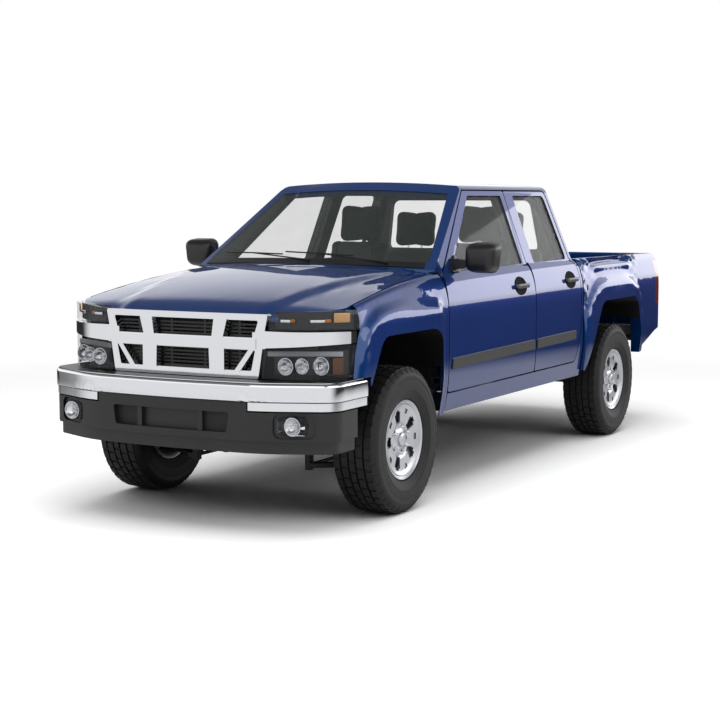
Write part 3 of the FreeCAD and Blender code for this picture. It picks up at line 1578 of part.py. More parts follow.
def rim(label):
    """Alloy rim: barrel, spoked face, hub with lug holes and a blind bore."""
    body = new_body(label)
    profile = sketch_on(body, "XY_Plane", label + "_profile")
    lip = from_size("rim_width", 0.5)
    inner_lip = (-lip[0], "-(Sizes.rim_width * 0.5)")
    radius = from_size("rim_radius")
    points = [
        (lip, radius),
        (from_size("rim_width", 0.5, -8), radius),
        (from_size("rim_width", 0.5, -8), from_size("rim_radius", 1, -15.3)),
        (62, from_size("rim_radius", 1, -15.3)),
        (42, 170),
        (-20, 170),
        (-60, from_size("rim_radius", 1, -15.3)),
        ((-100, "-(Sizes.rim_width * 0.5 - 8)"), from_size("rim_radius", 1, -15.3)),
        ((-100, "-(Sizes.rim_width * 0.5 - 8)"), radius),
        (inner_lip, radius),
        (inner_lip, 200),
        (-98, 185),
        (-64, 184),
        (-24, 162),
        (36, 162),
        (56, 172),
        (62, 160),
        (50, 100),
        (14, 88),
        (14, from_size("hub_bore")),
        (82, from_size("hub_bore")),
        (82, 0),
        (102, 0),
        (102, 34),
        (94, 44),
        (84, 60),
        (76, 96),
        (84, 150),
        (92, 184),
        (lip, 198),
    ]
    closed_profile(profile, points)
    turned(body, profile, "H_Axis")
    window = sketch_on(body, "YZ_Plane", label + "_window")
    closed_profile(window, [(-27, 110), (27, 110), (40, 146), (24, 156), (-24, 156), (-40, 146)])
    cut = body.newObject("PartDesign::Pocket", label + "_window_cut")
    cut.Profile = window
    cut.Type = "Length"
    cut.Midplane = True
    cut.Length = 400
    ring = body.newObject("PartDesign::PolarPattern", label + "_windows")
    ring.Originals = [cut]
    ring.Axis = ([item for item in body.Origin.OriginFeatures if item.Role == "X_Axis"][0], [""])
    ring.Angle = 360
    ring.setExpression("Occurrences", "Sizes.lug_count")
    body.Tip = ring
    lug = sketch_on(body, "YZ_Plane", label + "_lug")
    lug.addGeometry(Part.Circle(Vector(0, s.lug_circle / 2, 0), Vector(0, 0, 1), 7.5), False)
    lug.addConstraint(Sketcher.Constraint("Radius", 0, 7.5))
    row = lug.addConstraint(Sketcher.Constraint("DistanceY", -1, 1, 0, 3, s.lug_circle / 2))
    lug.setExpression(f"Constraints[{row}]", "Sizes.lug_circle * 0.5")
    lug.addConstraint(Sketcher.Constraint("PointOnObject", 0, 3, -2))
    hole = body.newObject("PartDesign::Pocket", label + "_lug_cut")
    hole.Profile = lug
    hole.Type = "Length"
    hole.Midplane = True
    hole.Length = 400
    holes = body.newObject("PartDesign::PolarPattern", label + "_lugs")
    holes.Originals = [hole]
    holes.Axis = ring.Axis
    holes.Angle = 360
    holes.setExpression("Occurrences", "Sizes.lug_count")
    body.Tip = holes
    return body


WHEELS = [
    ("front_left", wheel_x, front_axle, 0),
    ("front_right", -wheel_x, front_axle, 180),
    ("rear_left", wheel_x, rear_axle, 0),
    ("rear_right", -wheel_x, rear_axle, 180),
]
for corner, x, y, turn in WHEELS:
    place(tyre("tyre_" + corner), x, y, s.axle_height, turn)
    place(rim("rim_" + corner), x, y, s.axle_height, turn)


# Spare wheel under the bed, its winch bracket and the frame's rear member above it

def spare_wheel():
    """Full-size spare, lying under the bed behind the axle."""
    centre = Vector(0, rear_axle + 630, 470)
    half = s.tread_width / 2
    profile = [
        (150, -half + 20, 10),
        (330, -half, 40),
        (s.tyre_radius - 30, -half + 16, 40),
        (s.tyre_radius - 30, half - 16, 40),
        (330, half, 40),
        (150, half - 20, 10),
    ]
    ring = Part.Face(outline(profile, "XZ")).revolve(Vector(0, 0, 0), Vector(0, 0, 1), 360)
    web = Part.makeCylinder(160, 16, Vector(0, 0, 10))
    wheel = fuse([ring, web])
    hanger = rod(Vector(0, 0, 20), Vector(0, 0, 129.7), 14)
    wheel = wheel.fuse(hanger)
    wheel.translate(centre)
    return wheel


# Cabin

def dashboard():
    """Dashboard with instrument hood, centre stack and steering column."""
    y = cab_front
    side = [
        (y + 30.3, 1010),
        (y + 30.3, 1160, 30),
        (y + 230, 1180, 80),
        (y + 430, 1130, 50),
        (y + 440, 1010, 60),
        (y + 330, 850, 60),
        (y + 180, 850),
    ]
    board = prism(side, "YZ", -690, 690)
    hooding = prism(
        [(y + 300, 1110), (y + 300, 1190, 40), (y + 470, 1160, 30), (y + 450, 1100)], "YZ", 200, 540,
    )
    stack = prism(
        [(y + 200, 720), (y + 200, 900), (y + 410, 1050), (y + 440, 900, 40), (y + 400, 720, 30)],
        "YZ",
        -130,
        130,
    )
    console = block(-110, 110, y + 200, y + 1180, 700.3, 760)
    column = rod(wheel_centre + column_axis * 6, wheel_centre + column_axis * 260, 32)
    shaft = rod(wheel_centre - column_axis * 30, wheel_centre + column_axis * 20, 12)
    return fuse([board, hooding, stack, console, column, shaft])


wheel_centre = Vector(365, cab_front + 590, 1060)
column_axis = Vector(0, -math.cos(math.radians(26)), -math.sin(math.radians(26)))


def steering_wheel():
    """Steering wheel: rim, hub and three spokes, tilted towards the driver."""
    ring = Part.makeTorus(182, 14, Vector(0, 0, 0), Vector(0, 0, 1))
    hub = Part.makeCylinder(52, 44, Vector(0, 0, -34))
    spokes = [block(-180, 180, -16, 16, -12, 4), block(-16, 16, -180, 0, -12, 4)]
    bore = Part.makeCylinder(12.05, 40, Vector(0, 0, -44))
    wheel = fuse([ring, hub] + spokes).cut(bore)
    wheel.rotate(Vector(0, 0, 0), Vector(1, 0, 0), -(90 - 26))
    wheel.translate(wheel_centre - column_axis * 40)
    return wheel


def seat(x, width, y, cushion=500, back=560, head=True):
    """Seat: cushion, leaning back and headrest as one padded form on its base."""
    half = width / 2
    lean = 0.24
    base_z = 640
    side = [
        (y - cushion, base_z),
        (y - cushion, base_z + 130, 50),
        (y - 40, base_z + 150, 30),
        (y - 20 + back * lean, base_z + 150 + back, 40),
        (y + 90 + back * lean, base_z + 150 + back, 40),
        (y + 110, base_z, 40),
    ]
    pad = prism(side, "YZ", x - half, x + half)
    parts = [pad]
    post_y = y + 40 + back * lean
    if head:
        top = base_z + 150 + back
        heads = [x] if width < 800 else [x - 380, x + 380]
        for centre in heads:
            rest = [
                (centre - 130, top + 40, 40),
                (centre + 130, top + 40, 40),
                (centre + 120, top + 205, 60),
                (centre - 120, top + 205, 60),
            ]
            parts.append(prism(rest, "XZ", post_y - 45, post_y + 45))
            for shift in (-50, 50):
                parts.append(
                    rod(Vector(centre + shift, post_y, top - 20), Vector(centre + shift, post_y, top + 60), 7)
                )
    base = block(x - half + 60, x + half - 60, y - cushion + 60, y + 60, s.floor_height + 0.3, base_z + 10)
    parts.append(base)
    return fuse(parts)


def seats():
    """Two front seats and the rear bench."""
    front_y = front_axle + 1690
    front = [seat(425, 434, front_y, 500, 570), seat(-425, 434, front_y, 500, 570)]
    rear = seat(0, 1280, cab_rear - 300, 470, 500)
    return Part.makeCompound(front + [rear])


def cowl():
    """Black cowl panel below the windscreen, with both wipers."""
    panel = screen_face(0.93, 0.006, 0.066, -0.3).extrude(SCREEN_IN * -4)
    pieces = [panel]
    out = SCREEN_IN * -1

    def over(side, up, height):
        return screen_point(side, up) + out * height

    for pivot_side, end_side in ((0.05, -0.52), (0.66, 0.09)):
        pieces.append(rod(over(pivot_side, 0.036, 2), over(pivot_side, 0.036, 14), 9))
        middle = over(end_side, 0.12, 9)
        pieces.append(rod(over(pivot_side, 0.036, 12), middle, 4))
        pieces.append(rod(over(end_side + 0.3, 0.105, 9), middle, 4))
        pieces.append(rod(middle, over(end_side - 0.3, 0.135, 9), 4))
    return fuse(pieces)


# Door trims: handle, side moulding and, on the front doors, the mirror

def moulding(start, end, z_start, z_end):
    """Rubbing strip along a door."""
    height = 60
    strip = prism(
        [(start, z_start, 8), (end, z_end, 8), (end, z_end + height, 8), (start + 14, z_start + height, 8)],
        "YZ", s.body_half - 2, s.body_half + 7,
    )
    inner = block(s.body_half - 10, s.body_half + 0.3, start - 10, end + 10, 600, 900)
    return strip.cut(inner)


def handle(y, z):
    """Door handle: a grip across a round escutcheon."""
    skin = skin_x(z)
    plate = rod(Vector(skin - 8, y, z), Vector(skin + 4, y, z), 46)
    plate = plate.cut(rod(Vector(skin - 1, y, z), Vector(skin + 12, y, z), 38))
    grip = prism(
        [(y - 62, z - 14, 10), (y + 62, z - 12, 10), (y + 62, z + 12, 10), (y - 62, z + 14, 10)],
        "YZ",
        skin - 4,
        skin + 22,
    )
    return fuse([plate, grip])


def mirror():
    """Door mirror with its stalk and foot at the window's front corner."""
    y = front_axle + 745
    shell = prism([(862, 1246, 34), (1004, 1252, 40), (998, 1390, 46), (868, 1384, 40)], "XZ", y - 60, y + 70)
    shell = shell.common(
        prism([(850, y + 66, 14), (862, y - 40, 50), (990, y - 52, 50), (1010, y + 66, 20)], "XY", 1200, 1400)
    )
    shell = shell.cut(
        prism([(880, 1264, 26), (988, 1268, 30), (984, 1372, 30), (882, 1368, 26)], "XZ", y + 56, y + 90)
    )
    stalk = prism(
        [(glass_x(1250) - 2, 1236), (880, 1256), (880, 1290), (glass_x(1290) - 2, 1300)], "XZ", y - 20, y + 30
    )
    foot = prism(
        [(y - 66, 1226, 8), (y + 60, 1230, 8), (y + 56, 1330, 16), (y + 10, 1296, 20)], "YZ", 700, 900,
    )
    band = prism(
        [
            (glass_x(1200) - 3, 1200),
            (glass_x(1200) + 14, 1200),
            (glass_x(1400) + 14, 1400),
            (glass_x(1400) - 3, 1400),
        ],
        "XZ",
        y - 100,
        y + 100,
    )
    return fuse([shell, stalk, foot.common(band)])


def door_trim(front):
    """Trim of one door on the driver's side."""
    if front:
        pieces = [moulding(door_front + 28, pillar_gap - half_gap - 18, 700, 712)]
        pieces.append(handle(pillar_gap - 212, 1099))
        pieces.append(mirror())
    else:
        pieces = [moulding(pillar_gap + half_gap + 2, cab_rear - 130, 713, 720)]
        pieces.append(handle(cab_rear - 216, 1108))
    return pieces


def seated(pieces, door):
    """Trim pieces cut to lie on the door's face."""
    return Part.makeCompound([piece.cut(door) for piece in pieces])


def rear_bumper():
    """Chrome step bumper with its hitch ball hole."""
    y = bed_rear
    shape = [
        (-700, y + 12),
        (700, y + 12),
        (700, y + 60, 30),
        (560, y + 128, 60),
        (-560, y + 128, 60),
        (-700, y + 60, 30),
    ]
    face = prism(shape, "XY", 560, 700)
    inner = [
        (-680, y - 10),
        (680, y - 10),
        (680, y + 48, 20),
        (548, y + 112, 50),
        (-548, y + 112, 50),
        (-680, y + 48, 20),
    ]
    face = face.cut(prism(inner, "XY", 540, 686))
    step = block(-120, 120, y + 46, y + 118, 640, 652)
    brackets = both(block(s.rail_outer - 52, s.rail_outer - 8, y + 40.3, y + 116, 600, 670))
    ball_hole = rod(Vector(0, y + 66, 630), Vector(0, y + 66, 710), 12.95)
    well = rod(Vector(0, y + 66, 652), Vector(0, y + 66, 710), 40)
    return carve(fuse([face, step] + brackets), [ball_hole, well])


add("spare_wheel", spare_wheel())
add("dashboard", dashboard())
add("steering_wheel", steering_wheel())
add("seats", seats())
add("cowl", cowl())
front_trim = seated(door_trim(True), front_door)
rear_trim = seated(door_trim(False), rear_door)
add("trim_front_left", front_trim)
add("trim_front_right", flip(front_trim))
add("trim_rear_left", rear_trim)
add("trim_rear_right", flip(rear_trim))
add("rear_bumper", rear_bumper())


def finish():
    """Stop if anything failed, then write one file for each node."""
    doc.recompute()
    for item in doc.Objects:
        if "Invalid" in item.State or "Error" in item.State:
            raise RuntimeError(f"{item.Name} failed: {item.State}")
    for node, item in nodes.items():
        shape = item.Shape
        if shape.isNull() or not shape.isValid():
            raise RuntimeError(f"{node} has no valid shape")
        shape.exportStep(f"parts/{node}.step")
        print(node, len(shape.Solids), round(shape.Volume / 1e6, 2), "litres")


finish()
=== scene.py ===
# %% [markdown]
# A crew-cab pickup truck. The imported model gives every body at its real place, in metres:
# +Z is up, the front of the truck looks toward -Y and +X is the driver's side.
# This lesson dresses that model: it gives paint, chrome, glass, rubber and cloth to the
# solids, and replaces those whose real surface has more form than a plain solid.
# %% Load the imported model
import json
import math

import bmesh
import bpy
from mathutils import Matrix, Vector
from mathutils.bvhtree import BVHTree

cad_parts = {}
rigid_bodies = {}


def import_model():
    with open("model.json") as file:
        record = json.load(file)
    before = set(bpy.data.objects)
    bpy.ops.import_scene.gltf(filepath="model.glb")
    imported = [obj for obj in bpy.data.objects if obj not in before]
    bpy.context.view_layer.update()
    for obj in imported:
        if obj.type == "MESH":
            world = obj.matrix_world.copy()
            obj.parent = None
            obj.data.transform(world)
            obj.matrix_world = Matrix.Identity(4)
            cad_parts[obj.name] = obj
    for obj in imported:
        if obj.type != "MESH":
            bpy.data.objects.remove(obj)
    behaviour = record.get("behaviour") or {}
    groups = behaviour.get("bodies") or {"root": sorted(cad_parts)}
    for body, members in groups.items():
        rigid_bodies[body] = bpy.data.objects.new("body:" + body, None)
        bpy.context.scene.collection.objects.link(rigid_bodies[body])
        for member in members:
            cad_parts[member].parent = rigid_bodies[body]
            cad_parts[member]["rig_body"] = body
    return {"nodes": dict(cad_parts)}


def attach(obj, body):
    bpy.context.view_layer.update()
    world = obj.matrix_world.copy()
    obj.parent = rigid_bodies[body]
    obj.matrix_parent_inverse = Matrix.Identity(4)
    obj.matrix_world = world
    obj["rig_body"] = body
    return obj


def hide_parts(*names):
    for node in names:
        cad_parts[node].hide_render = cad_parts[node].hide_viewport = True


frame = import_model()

scene = bpy.context.scene
nodes = frame["nodes"]
SIDES = (("left", 1), ("right", -1))
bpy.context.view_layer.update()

# %% [markdown]
# The camera stands where the photographer stood: ahead of the truck on the driver's side, a
# little below the height of the roof. A long lens keeps the truck's far side nearly as large
# as its near side, as in the picture.
# %% Camera
camera_data = bpy.data.cameras.new("camera")
camera_data.lens = 80.2
camera = bpy.data.objects.new("camera", camera_data)
camera.location = (4.559, -9.049, 1.633)
camera.rotation_euler = (math.radians(84.242), 0.0, math.radians(28.419))
scene.collection.objects.link(camera)
scene.camera = camera
print("camera at", tuple(camera.location))

# %% [markdown]
# Studio light: one broad soft lamp overhead, one to the side and one in front light the
# truck, and a dim world fills the shadows. The panel behind the driver's side is there for
# its reflection: a door leans a little towards the sky above its crease and a little towards
# the ground below it, so the upper half mirrors the panel and the lower half doesn't. Each
# lamp is aimed at a point, and none of them shows itself to the camera.
# %% Lights
AREA_LIGHTS = [
    ("overhead", (0.5, -1.0, 6.5), (0.5, -0.9, 0.0), (7.0, 9.0), 380),
    ("side", (7.0, -2.5, 5.0), (0.0, -0.3, 0.6), (7.0, 3.0), 110),
    ("front", (1.5, -7.5, 5.0), (0.0, -2.0, 0.7), (6.0, 2.5), 70),
    ("sky_panel", (6.2, 9.0, 2.75), (0.9, 0.3, 1.1), (11.0, 3.1), 215),
]
for name, place, target, size, watts in AREA_LIGHTS:
    lamp_data = bpy.data.lights.new(name, "AREA")
    lamp_data.shape = "RECTANGLE"
    lamp_data.size, lamp_data.size_y = size
    lamp_data.energy = watts
    lamp = bpy.data.objects.new(name, lamp_data)
    lamp.location = place
    lamp.rotation_euler = (Vector(target) - Vector(place)).to_track_quat("-Z", "Y").to_euler()
    lamp.visible_camera = False
    lamp.visible_diffuse = name != "sky_panel"
    lamp.visible_glossy = name != "overhead"
    scene.collection.objects.link(lamp)
print(len(AREA_LIGHTS), "area lights")

# %% [markdown]
# Every finish is a small node tree. To write the node maths as plain Python, one class
# wraps a socket and overloads the operators, so that `grain * 0.6` adds a Math node. Another
# class holds the material, and its method `node` adds any other kind of node.
# %% Node maths
class Flow:
    """A socket of a material, for sums written as Python expressions."""

    def __init__(self, finish, socket):
        self.finish = finish
        self.socket = socket

    def maths(self, operation, first, second):
        return self.finish.node("ShaderNodeMath", {"operation": operation}, {0: first, 1: second})

    def __add__(self, other):
        return self.maths("ADD", self, other)

    __radd__ = __add__

    def __mul__(self, other):
        return self.maths("MULTIPLY", self, other)


class Finish:
    """A material: a Principled shader, whose constant sockets are set by name."""

    def __init__(self, name, slot, **sockets):
        self.slot = slot
        self.material = bpy.data.materials.new(name)
        self.material.use_nodes = True
        self.tree = self.material.node_tree
        self.shader = self.tree.nodes["Principled BSDF"]
        for socket, value in sockets.items():
            self.shader.inputs[socket.replace("_", " ")].default_value = value
        self.place = self.node("ShaderNodeTexCoord", output="Object")

    def node(self, kind, settings=None, links=None, output=0):
        made = self.tree.nodes.new(kind)
        for key, value in (settings or {}).items():
            setattr(made, key, value)
        for key, value in (links or {}).items():
            self.join(value, made.inputs[key])
        return Flow(self, made.outputs[output])

    def join(self, value, socket):
        if isinstance(value, Flow):
            self.tree.links.new(value.socket, socket)
        else:
            socket.default_value = value

    def feed(self, **links):
        for key, value in links.items():
            self.join(value, self.shader.inputs[key.replace("_", " ")])

    def noise(self, scale, detail=3.0, rough=0.5):
        links = {"Vector": self.place, "Scale": scale, "Detail": detail, "Roughness": rough}
        return self.node("ShaderNodeTexNoise", links=links)

    def mix(self, factor, first, second):
        settings = {"data_type": "RGBA"}
        return self.node("ShaderNodeMix", settings, {0: factor, 6: first, 7: second}, output=2)

    def bump(self, height, distance, strength=1.0):
        links = {"Height": height, "Distance": distance, "Strength": strength}
        self.feed(Normal=self.node("ShaderNodeBump", links=links))

    def span(self, value, low, high):
        """0 below low, 1 above high, straight between."""
        return self.node("ShaderNodeMapRange", links={0: value, 1: low, 2: high})


def colour(red, green, blue):
    """Linear colour with alpha from screen values of 0 to 255."""
    return tuple((value / 255) ** 2.2 for value in (red, green, blue)) + (1.0,)


print("node helpers ready")

# %% [markdown]
# Body paint is a deep blue metallic under clear coat. The flakes are a very fine noise that
# shifts the colour and tilts the normal a little; the coat over them is smooth and sharp. A
# broad noise varies the colour slightly from place to place on a panel.
# %% Body paint
def body_paint():
    paint = Finish("body_paint", "paint", Coat_Weight=1.0, Coat_Roughness=0.02, Coat_IOR=1.6, Metallic=0.6,
                   Specular_IOR_Level=0.15, Specular_Tint=colour(50, 112, 200))
    flakes = paint.noise(900, 1.0)
    broad = paint.noise(1.4, 2.0)
    tone = paint.mix(flakes, colour(2, 42, 98), colour(8, 74, 138))
    tone = paint.mix(paint.span(broad, 0.35, 0.7) * 0.25, tone, colour(8, 46, 98))
    paint.feed(Base_Color=tone, Roughness=0.36 + flakes * 0.12)
    paint.bump(flakes, 0.0002, 0.08)
    return paint


paint = body_paint()
print("made", paint.material.name)

# %% [markdown]
# Chrome is nearly a mirror. Faint wavy bump keeps its reflections from looking drawn, and a
# trace of haze gathers in patches where hands and rain reach.
# %% Metals
def bright_chrome():
    chrome = Finish("bright_chrome", "chrome", Metallic=1.0, Base_Color=colour(226, 228, 232))
    waves = chrome.noise(5, 2.0)
    haze = chrome.noise(28, 4.0)
    chrome.feed(Roughness=0.05 + haze * 0.06)
    chrome.bump(waves, 0.004, 0.25)
    return chrome


def plain_metal(name, slot, light, dark, rough, metallic, scale=60):
    metal = Finish(name, slot, Metallic=metallic)
    grain = metal.noise(scale, 5.0, 0.6)
    spots = metal.noise(7, 3.0)
    tone = metal.mix(metal.span(grain * 0.6 + spots * 0.4, 0.3, 0.7), colour(*dark), colour(*light))
    metal.feed(Base_Color=tone, Roughness=rough + grain * 0.18)
    metal.bump(grain, 0.0006, 0.4)
    return metal


chrome = bright_chrome()
alloy = plain_metal("wheel_alloy", "alloy", (208, 209, 213), (182, 184, 190), 0.24, 0.85, 180)
alloy_dark = plain_metal("wheel_shade", "alloy", (92, 92, 96), (52, 52, 56), 0.4, 0.7, 120)
chassis_black = plain_metal("chassis_black", "frame_steel", (44, 44, 46), (24, 24, 26), 0.5, 0.2)
iron = plain_metal("bare_casting", "cast_iron", (104, 98, 92), (60, 54, 50), 0.55, 0.7)
engine_alloy = plain_metal("engine_casting", "engine_alloy", (170, 170, 168), (120, 120, 120), 0.42, 0.8)
exhaust_steel = plain_metal("exhaust_steel", "exhaust_steel", (150, 142, 134), (98, 88, 80), 0.4, 0.85)
print("made metals")

# %% [markdown]
# Moulded plastic has a fine grain pressed into it, and is bleached a little in patches. One
# function makes all of the plastics, from near black trim to the pale grey of the cabin, with
# the grain's scale and depth as its arguments.
# %% Plastics and rubber
def moulded(name, slot, light, dark, rough, scale=420, depth=0.0005):
    plastic = Finish(name, slot)
    grain = plastic.noise(scale, 2.0, 0.6)
    fade = plastic.noise(3, 3.0)
    tone = plastic.mix(plastic.span(fade, 0.3, 0.7), colour(*dark), colour(*light))
    plastic.feed(Base_Color=tone, Roughness=rough + grain * 0.15)
    plastic.bump(grain, depth, 0.5)
    return plastic


fascia_grey = moulded("fascia_plastic", "dark_plastic", (35, 35, 37), (26, 26, 28), 0.42)
black_trim = moulded("black_trim", "black_plastic", (30, 30, 32), (18, 18, 20), 0.32)
cabin_grey = moulded("cabin_plastic", "trim_plastic", (88, 90, 90), (70, 72, 72), 0.5)
cabin_dark = moulded("cabin_dark", "trim_plastic", (60, 63, 62), (44, 47, 47), 0.5)
handle_grey = moulded("handle_grey", "dark_plastic", (104, 105, 106), (84, 85, 86), 0.26, 300, 0.0002)
strip_grey = moulded("strip_grey", "dark_plastic", (120, 122, 128), (98, 100, 106), 0.35)
# The handle's dish is painted near black with weak reflections, as painted shade.
dish_painted_shade = moulded("dish_painted_shade", "dark_plastic", (20, 20, 21), (12, 12, 13), 0.7)
dish_painted_shade.shader.inputs["Specular IOR Level"].default_value = 0.15
seal_rubber = moulded("seal_rubber", "black_plastic", (26, 26, 27), (16, 16, 17), 0.6, 150)


def tyre_rubber():
    rubber = Finish("tyre_rubber", "tyre", Specular_IOR_Level=0.4)
    grain = rubber.noise(240, 3.0, 0.6)
    dust = rubber.noise(9, 4.0)
    tone = rubber.mix(rubber.span(dust, 0.45, 0.75), colour(24, 24, 25), colour(34, 34, 33))
    rubber.feed(Base_Color=tone, Roughness=0.5 + grain * 0.2)
    rubber.bump(grain, 0.0006, 0.5)
    return rubber


tyre_black = tyre_rubber()
print("made plastics and rubber")

# %% [markdown]
# Window glass is clear when looked through square on and more solid at a glancing angle. The
# Facing output of a Layer Weight node on Alpha does both. The red lens is nearly solid, and
# the amber parts behind the clear lenses are plain plastic.
# %% Glass and lenses
def clear_pane(name, slot, tint, clear, solid, rough=0.02):
    pane = Finish(
        name, slot, Base_Color=colour(*tint), Roughness=rough, Specular_IOR_Level=0.8, Coat_Weight=0.6
    )
    glance = pane.node("ShaderNodeLayerWeight", links={"Blend": 0.25}, output="Facing")
    dirt = pane.noise(6, 4.0)
    pane.feed(Alpha=clear + glance * (solid - clear) + dirt * 0.04)
    return pane


window_glass = clear_pane("window_glass", "glass", (104, 112, 110), 0.03, 0.18)
lamp_lens = clear_pane("lamp_lens", "lamp_lens", (120, 124, 130), 0.06, 0.4)
amber_corner = moulded("amber_corner", "lamp_lens", (240, 190, 132), (216, 160, 100), 0.25, 60, 0.0002)
amber_bulb = moulded("amber_bulb", "lamp_lens", (206, 128, 52), (176, 98, 36), 0.3, 60, 0.0002)
# The lower lamp's amber strip is amber painted dark brown: painted shade.
amber_painted_shade = moulded("amber_strip_painted_shade", "lamp_lens", (104, 68, 38), (78, 50, 28), 0.3, 60, 0.0002)
lamp_grey = moulded("lamp_band", "lamp_lens", (206, 208, 212), (180, 182, 188), 0.22, 90, 0.0002)
red_lens = clear_pane("red_lens", "lamp_lens", (150, 12, 16), 0.82, 0.95, 0.08)
lamp_black = moulded("lamp_housing", "black_plastic", (38, 39, 42), (26, 27, 30), 0.25, 260, 0.0002)
mirror_glass = Finish("mirror_glass", "chrome", Metallic=1.0, Base_Color=colour(200, 205, 210))
mirror_glass.feed(Roughness=0.02 + mirror_glass.noise(4) * 0.03)
reflector = plain_metal("lamp_reflector", "chrome", (225, 226, 230), (200, 202, 206), 0.12, 0.95, 90)
print("made glass")

# %% [markdown]
# Seat cloth is woven: two sets of threads cross, so the height is the larger of two sine
# ridges. A soft broad noise varies the colour as wear and light do, and sheen lights up the
# short fibres at the edge of each form.
# %% Cloth and carpet
def woven(name, light, dark, threads):
    cloth = Finish(name, "seat_cloth", Sheen_Weight=0.4, Sheen_Roughness=0.5, Specular_IOR_Level=0.2)
    waves = []
    for direction in "XZ":
        settings = {"wave_type": "BANDS", "bands_direction": direction, "wave_profile": "SIN"}
        links = {"Vector": cloth.place, "Scale": threads, "Distortion": 0.4}
        waves.append(cloth.node("ShaderNodeTexWave", settings, links))
    weave = waves[0].maths("MAXIMUM", waves[0], waves[1])
    broad = cloth.noise(8, 4.0)
    fibre = cloth.noise(600, 2.0)
    tone = cloth.mix(cloth.span(weave * 0.5 + broad * 0.5, 0.2, 0.9), colour(*dark), colour(*light))
    cloth.feed(Base_Color=tone, Roughness=0.8 + fibre * 0.15)
    cloth.bump(weave + fibre * 0.5, 0.0008, 0.6)
    return cloth


seat_cloth = woven("seat_cloth", (92, 95, 95), (66, 69, 69), 130)
bolster_cloth = woven("bolster_cloth", (66, 69, 69), (46, 49, 49), 160)
carpet = woven("floor_carpet", (52, 52, 51), (34, 34, 34), 240)
headlining = woven("headlining", (150, 149, 145), (132, 131, 127), 300)
print("made cloth")

# %% [markdown]
# A CAD node whose solid is right can be copied and finished: the loose triangles are merged,
# flat areas become single faces again, and a narrow bevel rounds the edges so that they
# catch the light as pressed metal does. Faces get their finish by a rule on their place.
# %% Dress a copy of a CAD node
EDGE_SEGMENTS = 2
EDGE_LIMIT = 30
SAME_PLACE = 0.00001


def set_smooth(mesh, angle):
    """Smooth shading, with an edge kept sharp where its faces turn by more than the angle."""
    work = bmesh.new()
    work.from_mesh(mesh)
    limit = math.radians(angle)
    for face in work.faces:
        face.smooth = True
    for edge in work.edges:
        edge.smooth = len(edge.link_faces) == 2 and edge.calc_face_angle(0.0) < limit
    work.to_mesh(mesh)
    work.free()


def object_of(name, work):
    """Object in the scene with the geometry of a bmesh, which is used up."""
    mesh = bpy.data.meshes.new(name)
    work.to_mesh(mesh)
    work.free()
    made = bpy.data.objects.new(name, mesh)
    scene.collection.objects.link(made)
    return made


def piece(name, work, finishes, body, edge=0.0, angle=35):
    """Turn a bmesh into a finished piece that rides on a body."""
    made = object_of(name, work)
    finishes = finishes if isinstance(finishes, list) else [finishes]
    for finish in finishes:
        made.data.materials.append(finish.material)
    set_smooth(made.data, angle)
    if edge:
        bevel = made.modifiers.new("edges", "BEVEL")
        bevel.width = edge
        bevel.segments = EDGE_SEGMENTS
        bevel.limit_method = "ANGLE"
        bevel.angle_limit = math.radians(EDGE_LIMIT)
        bevel.harden_normals = True
        bevel.use_clamp_overlap = True
    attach(made, body)
    return made


def copied(node, flat=0.5):
    """Merged copy of a CAD node's mesh, with its flat areas joined into single faces."""
    work = bmesh.new()
    work.from_mesh(nodes[node].data)
    bmesh.ops.remove_doubles(work, verts=work.verts, dist=0.00002)
    bmesh.ops.dissolve_limit(work, angle_limit=math.radians(flat), verts=work.verts, edges=work.edges)
    work.normal_update()
    return work


def paint_faces(work, index):
    for face in work.faces:
        face.material_index = index
    return work


def join(work, other, index=0):
    """Add the geometry of another bmesh to this one, in one of its finishes."""
    mesh = bpy.data.meshes.new("part")
    paint_faces(other, index).to_mesh(mesh)
    other.free()
    work.from_mesh(mesh)
    bpy.data.meshes.remove(mesh)


def handed(work, side):
    """Mirror what was made for the left side, where the side is the right one."""
    if side < 0:
        bmesh.ops.scale(work, vec=(-1, 1, 1), verts=work.verts)
        bmesh.ops.reverse_faces(work, faces=work.faces)
    return work


def spun(section, steps, closed=False, axis=(1, 0, 0)):
    """Turn a section of (place along the axis, radius) points fully about the axis."""
    work = bmesh.new()
    made = [work.verts.new(Vector(axis) * along + Vector((0, 0, radius))) for along, radius in section]
    edges = [work.edges.new(pair) for pair in zip(made, made[1:])]
    if closed:
        edges.append(work.edges.new((made[-1], made[0])))
    bmesh.ops.spin(
        work, geom=made + edges, cent=(0, 0, 0), axis=axis, angle=math.tau,
        steps=steps, use_merge=True, use_duplicate=False,
    )
    bmesh.ops.remove_doubles(work, verts=work.verts, dist=SAME_PLACE)
    bmesh.ops.recalc_face_normals(work, faces=work.faces)
    return work


def rounded_block(low, high, corner, segments=3):
    """Box between two corners, with all of its edges rounded."""
    work = bmesh.new()
    bmesh.ops.create_cube(work, size=1.0)
    size = [b - a for a, b in zip(low, high)]
    middle = [(a + b) / 2 for a, b in zip(low, high)]
    bmesh.ops.scale(work, vec=size, verts=work.verts)
    bmesh.ops.translate(work, vec=middle, verts=work.verts)
    bmesh.ops.bevel(
        work, geom=work.edges[:], offset=corner, segments=segments, profile=0.5,
        affect="EDGES", material=-1, clamp_overlap=True,
    )
    return work


def dressed(node, finishes, edge=0.002, rule=None, flat=0.5, work=None):
    """Finished copy of a CAD node. The rule gives a face's place among the finishes."""
    work = work or copied(node, flat)
    if rule:
        for face in work.faces:
            face.material_index = rule(face.calc_center_median(), face.normal)
    made = piece(node + "_dressed", work, finishes, nodes[node]["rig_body"], edge)
    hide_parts(node)
    return made


print("dressing helpers ready")
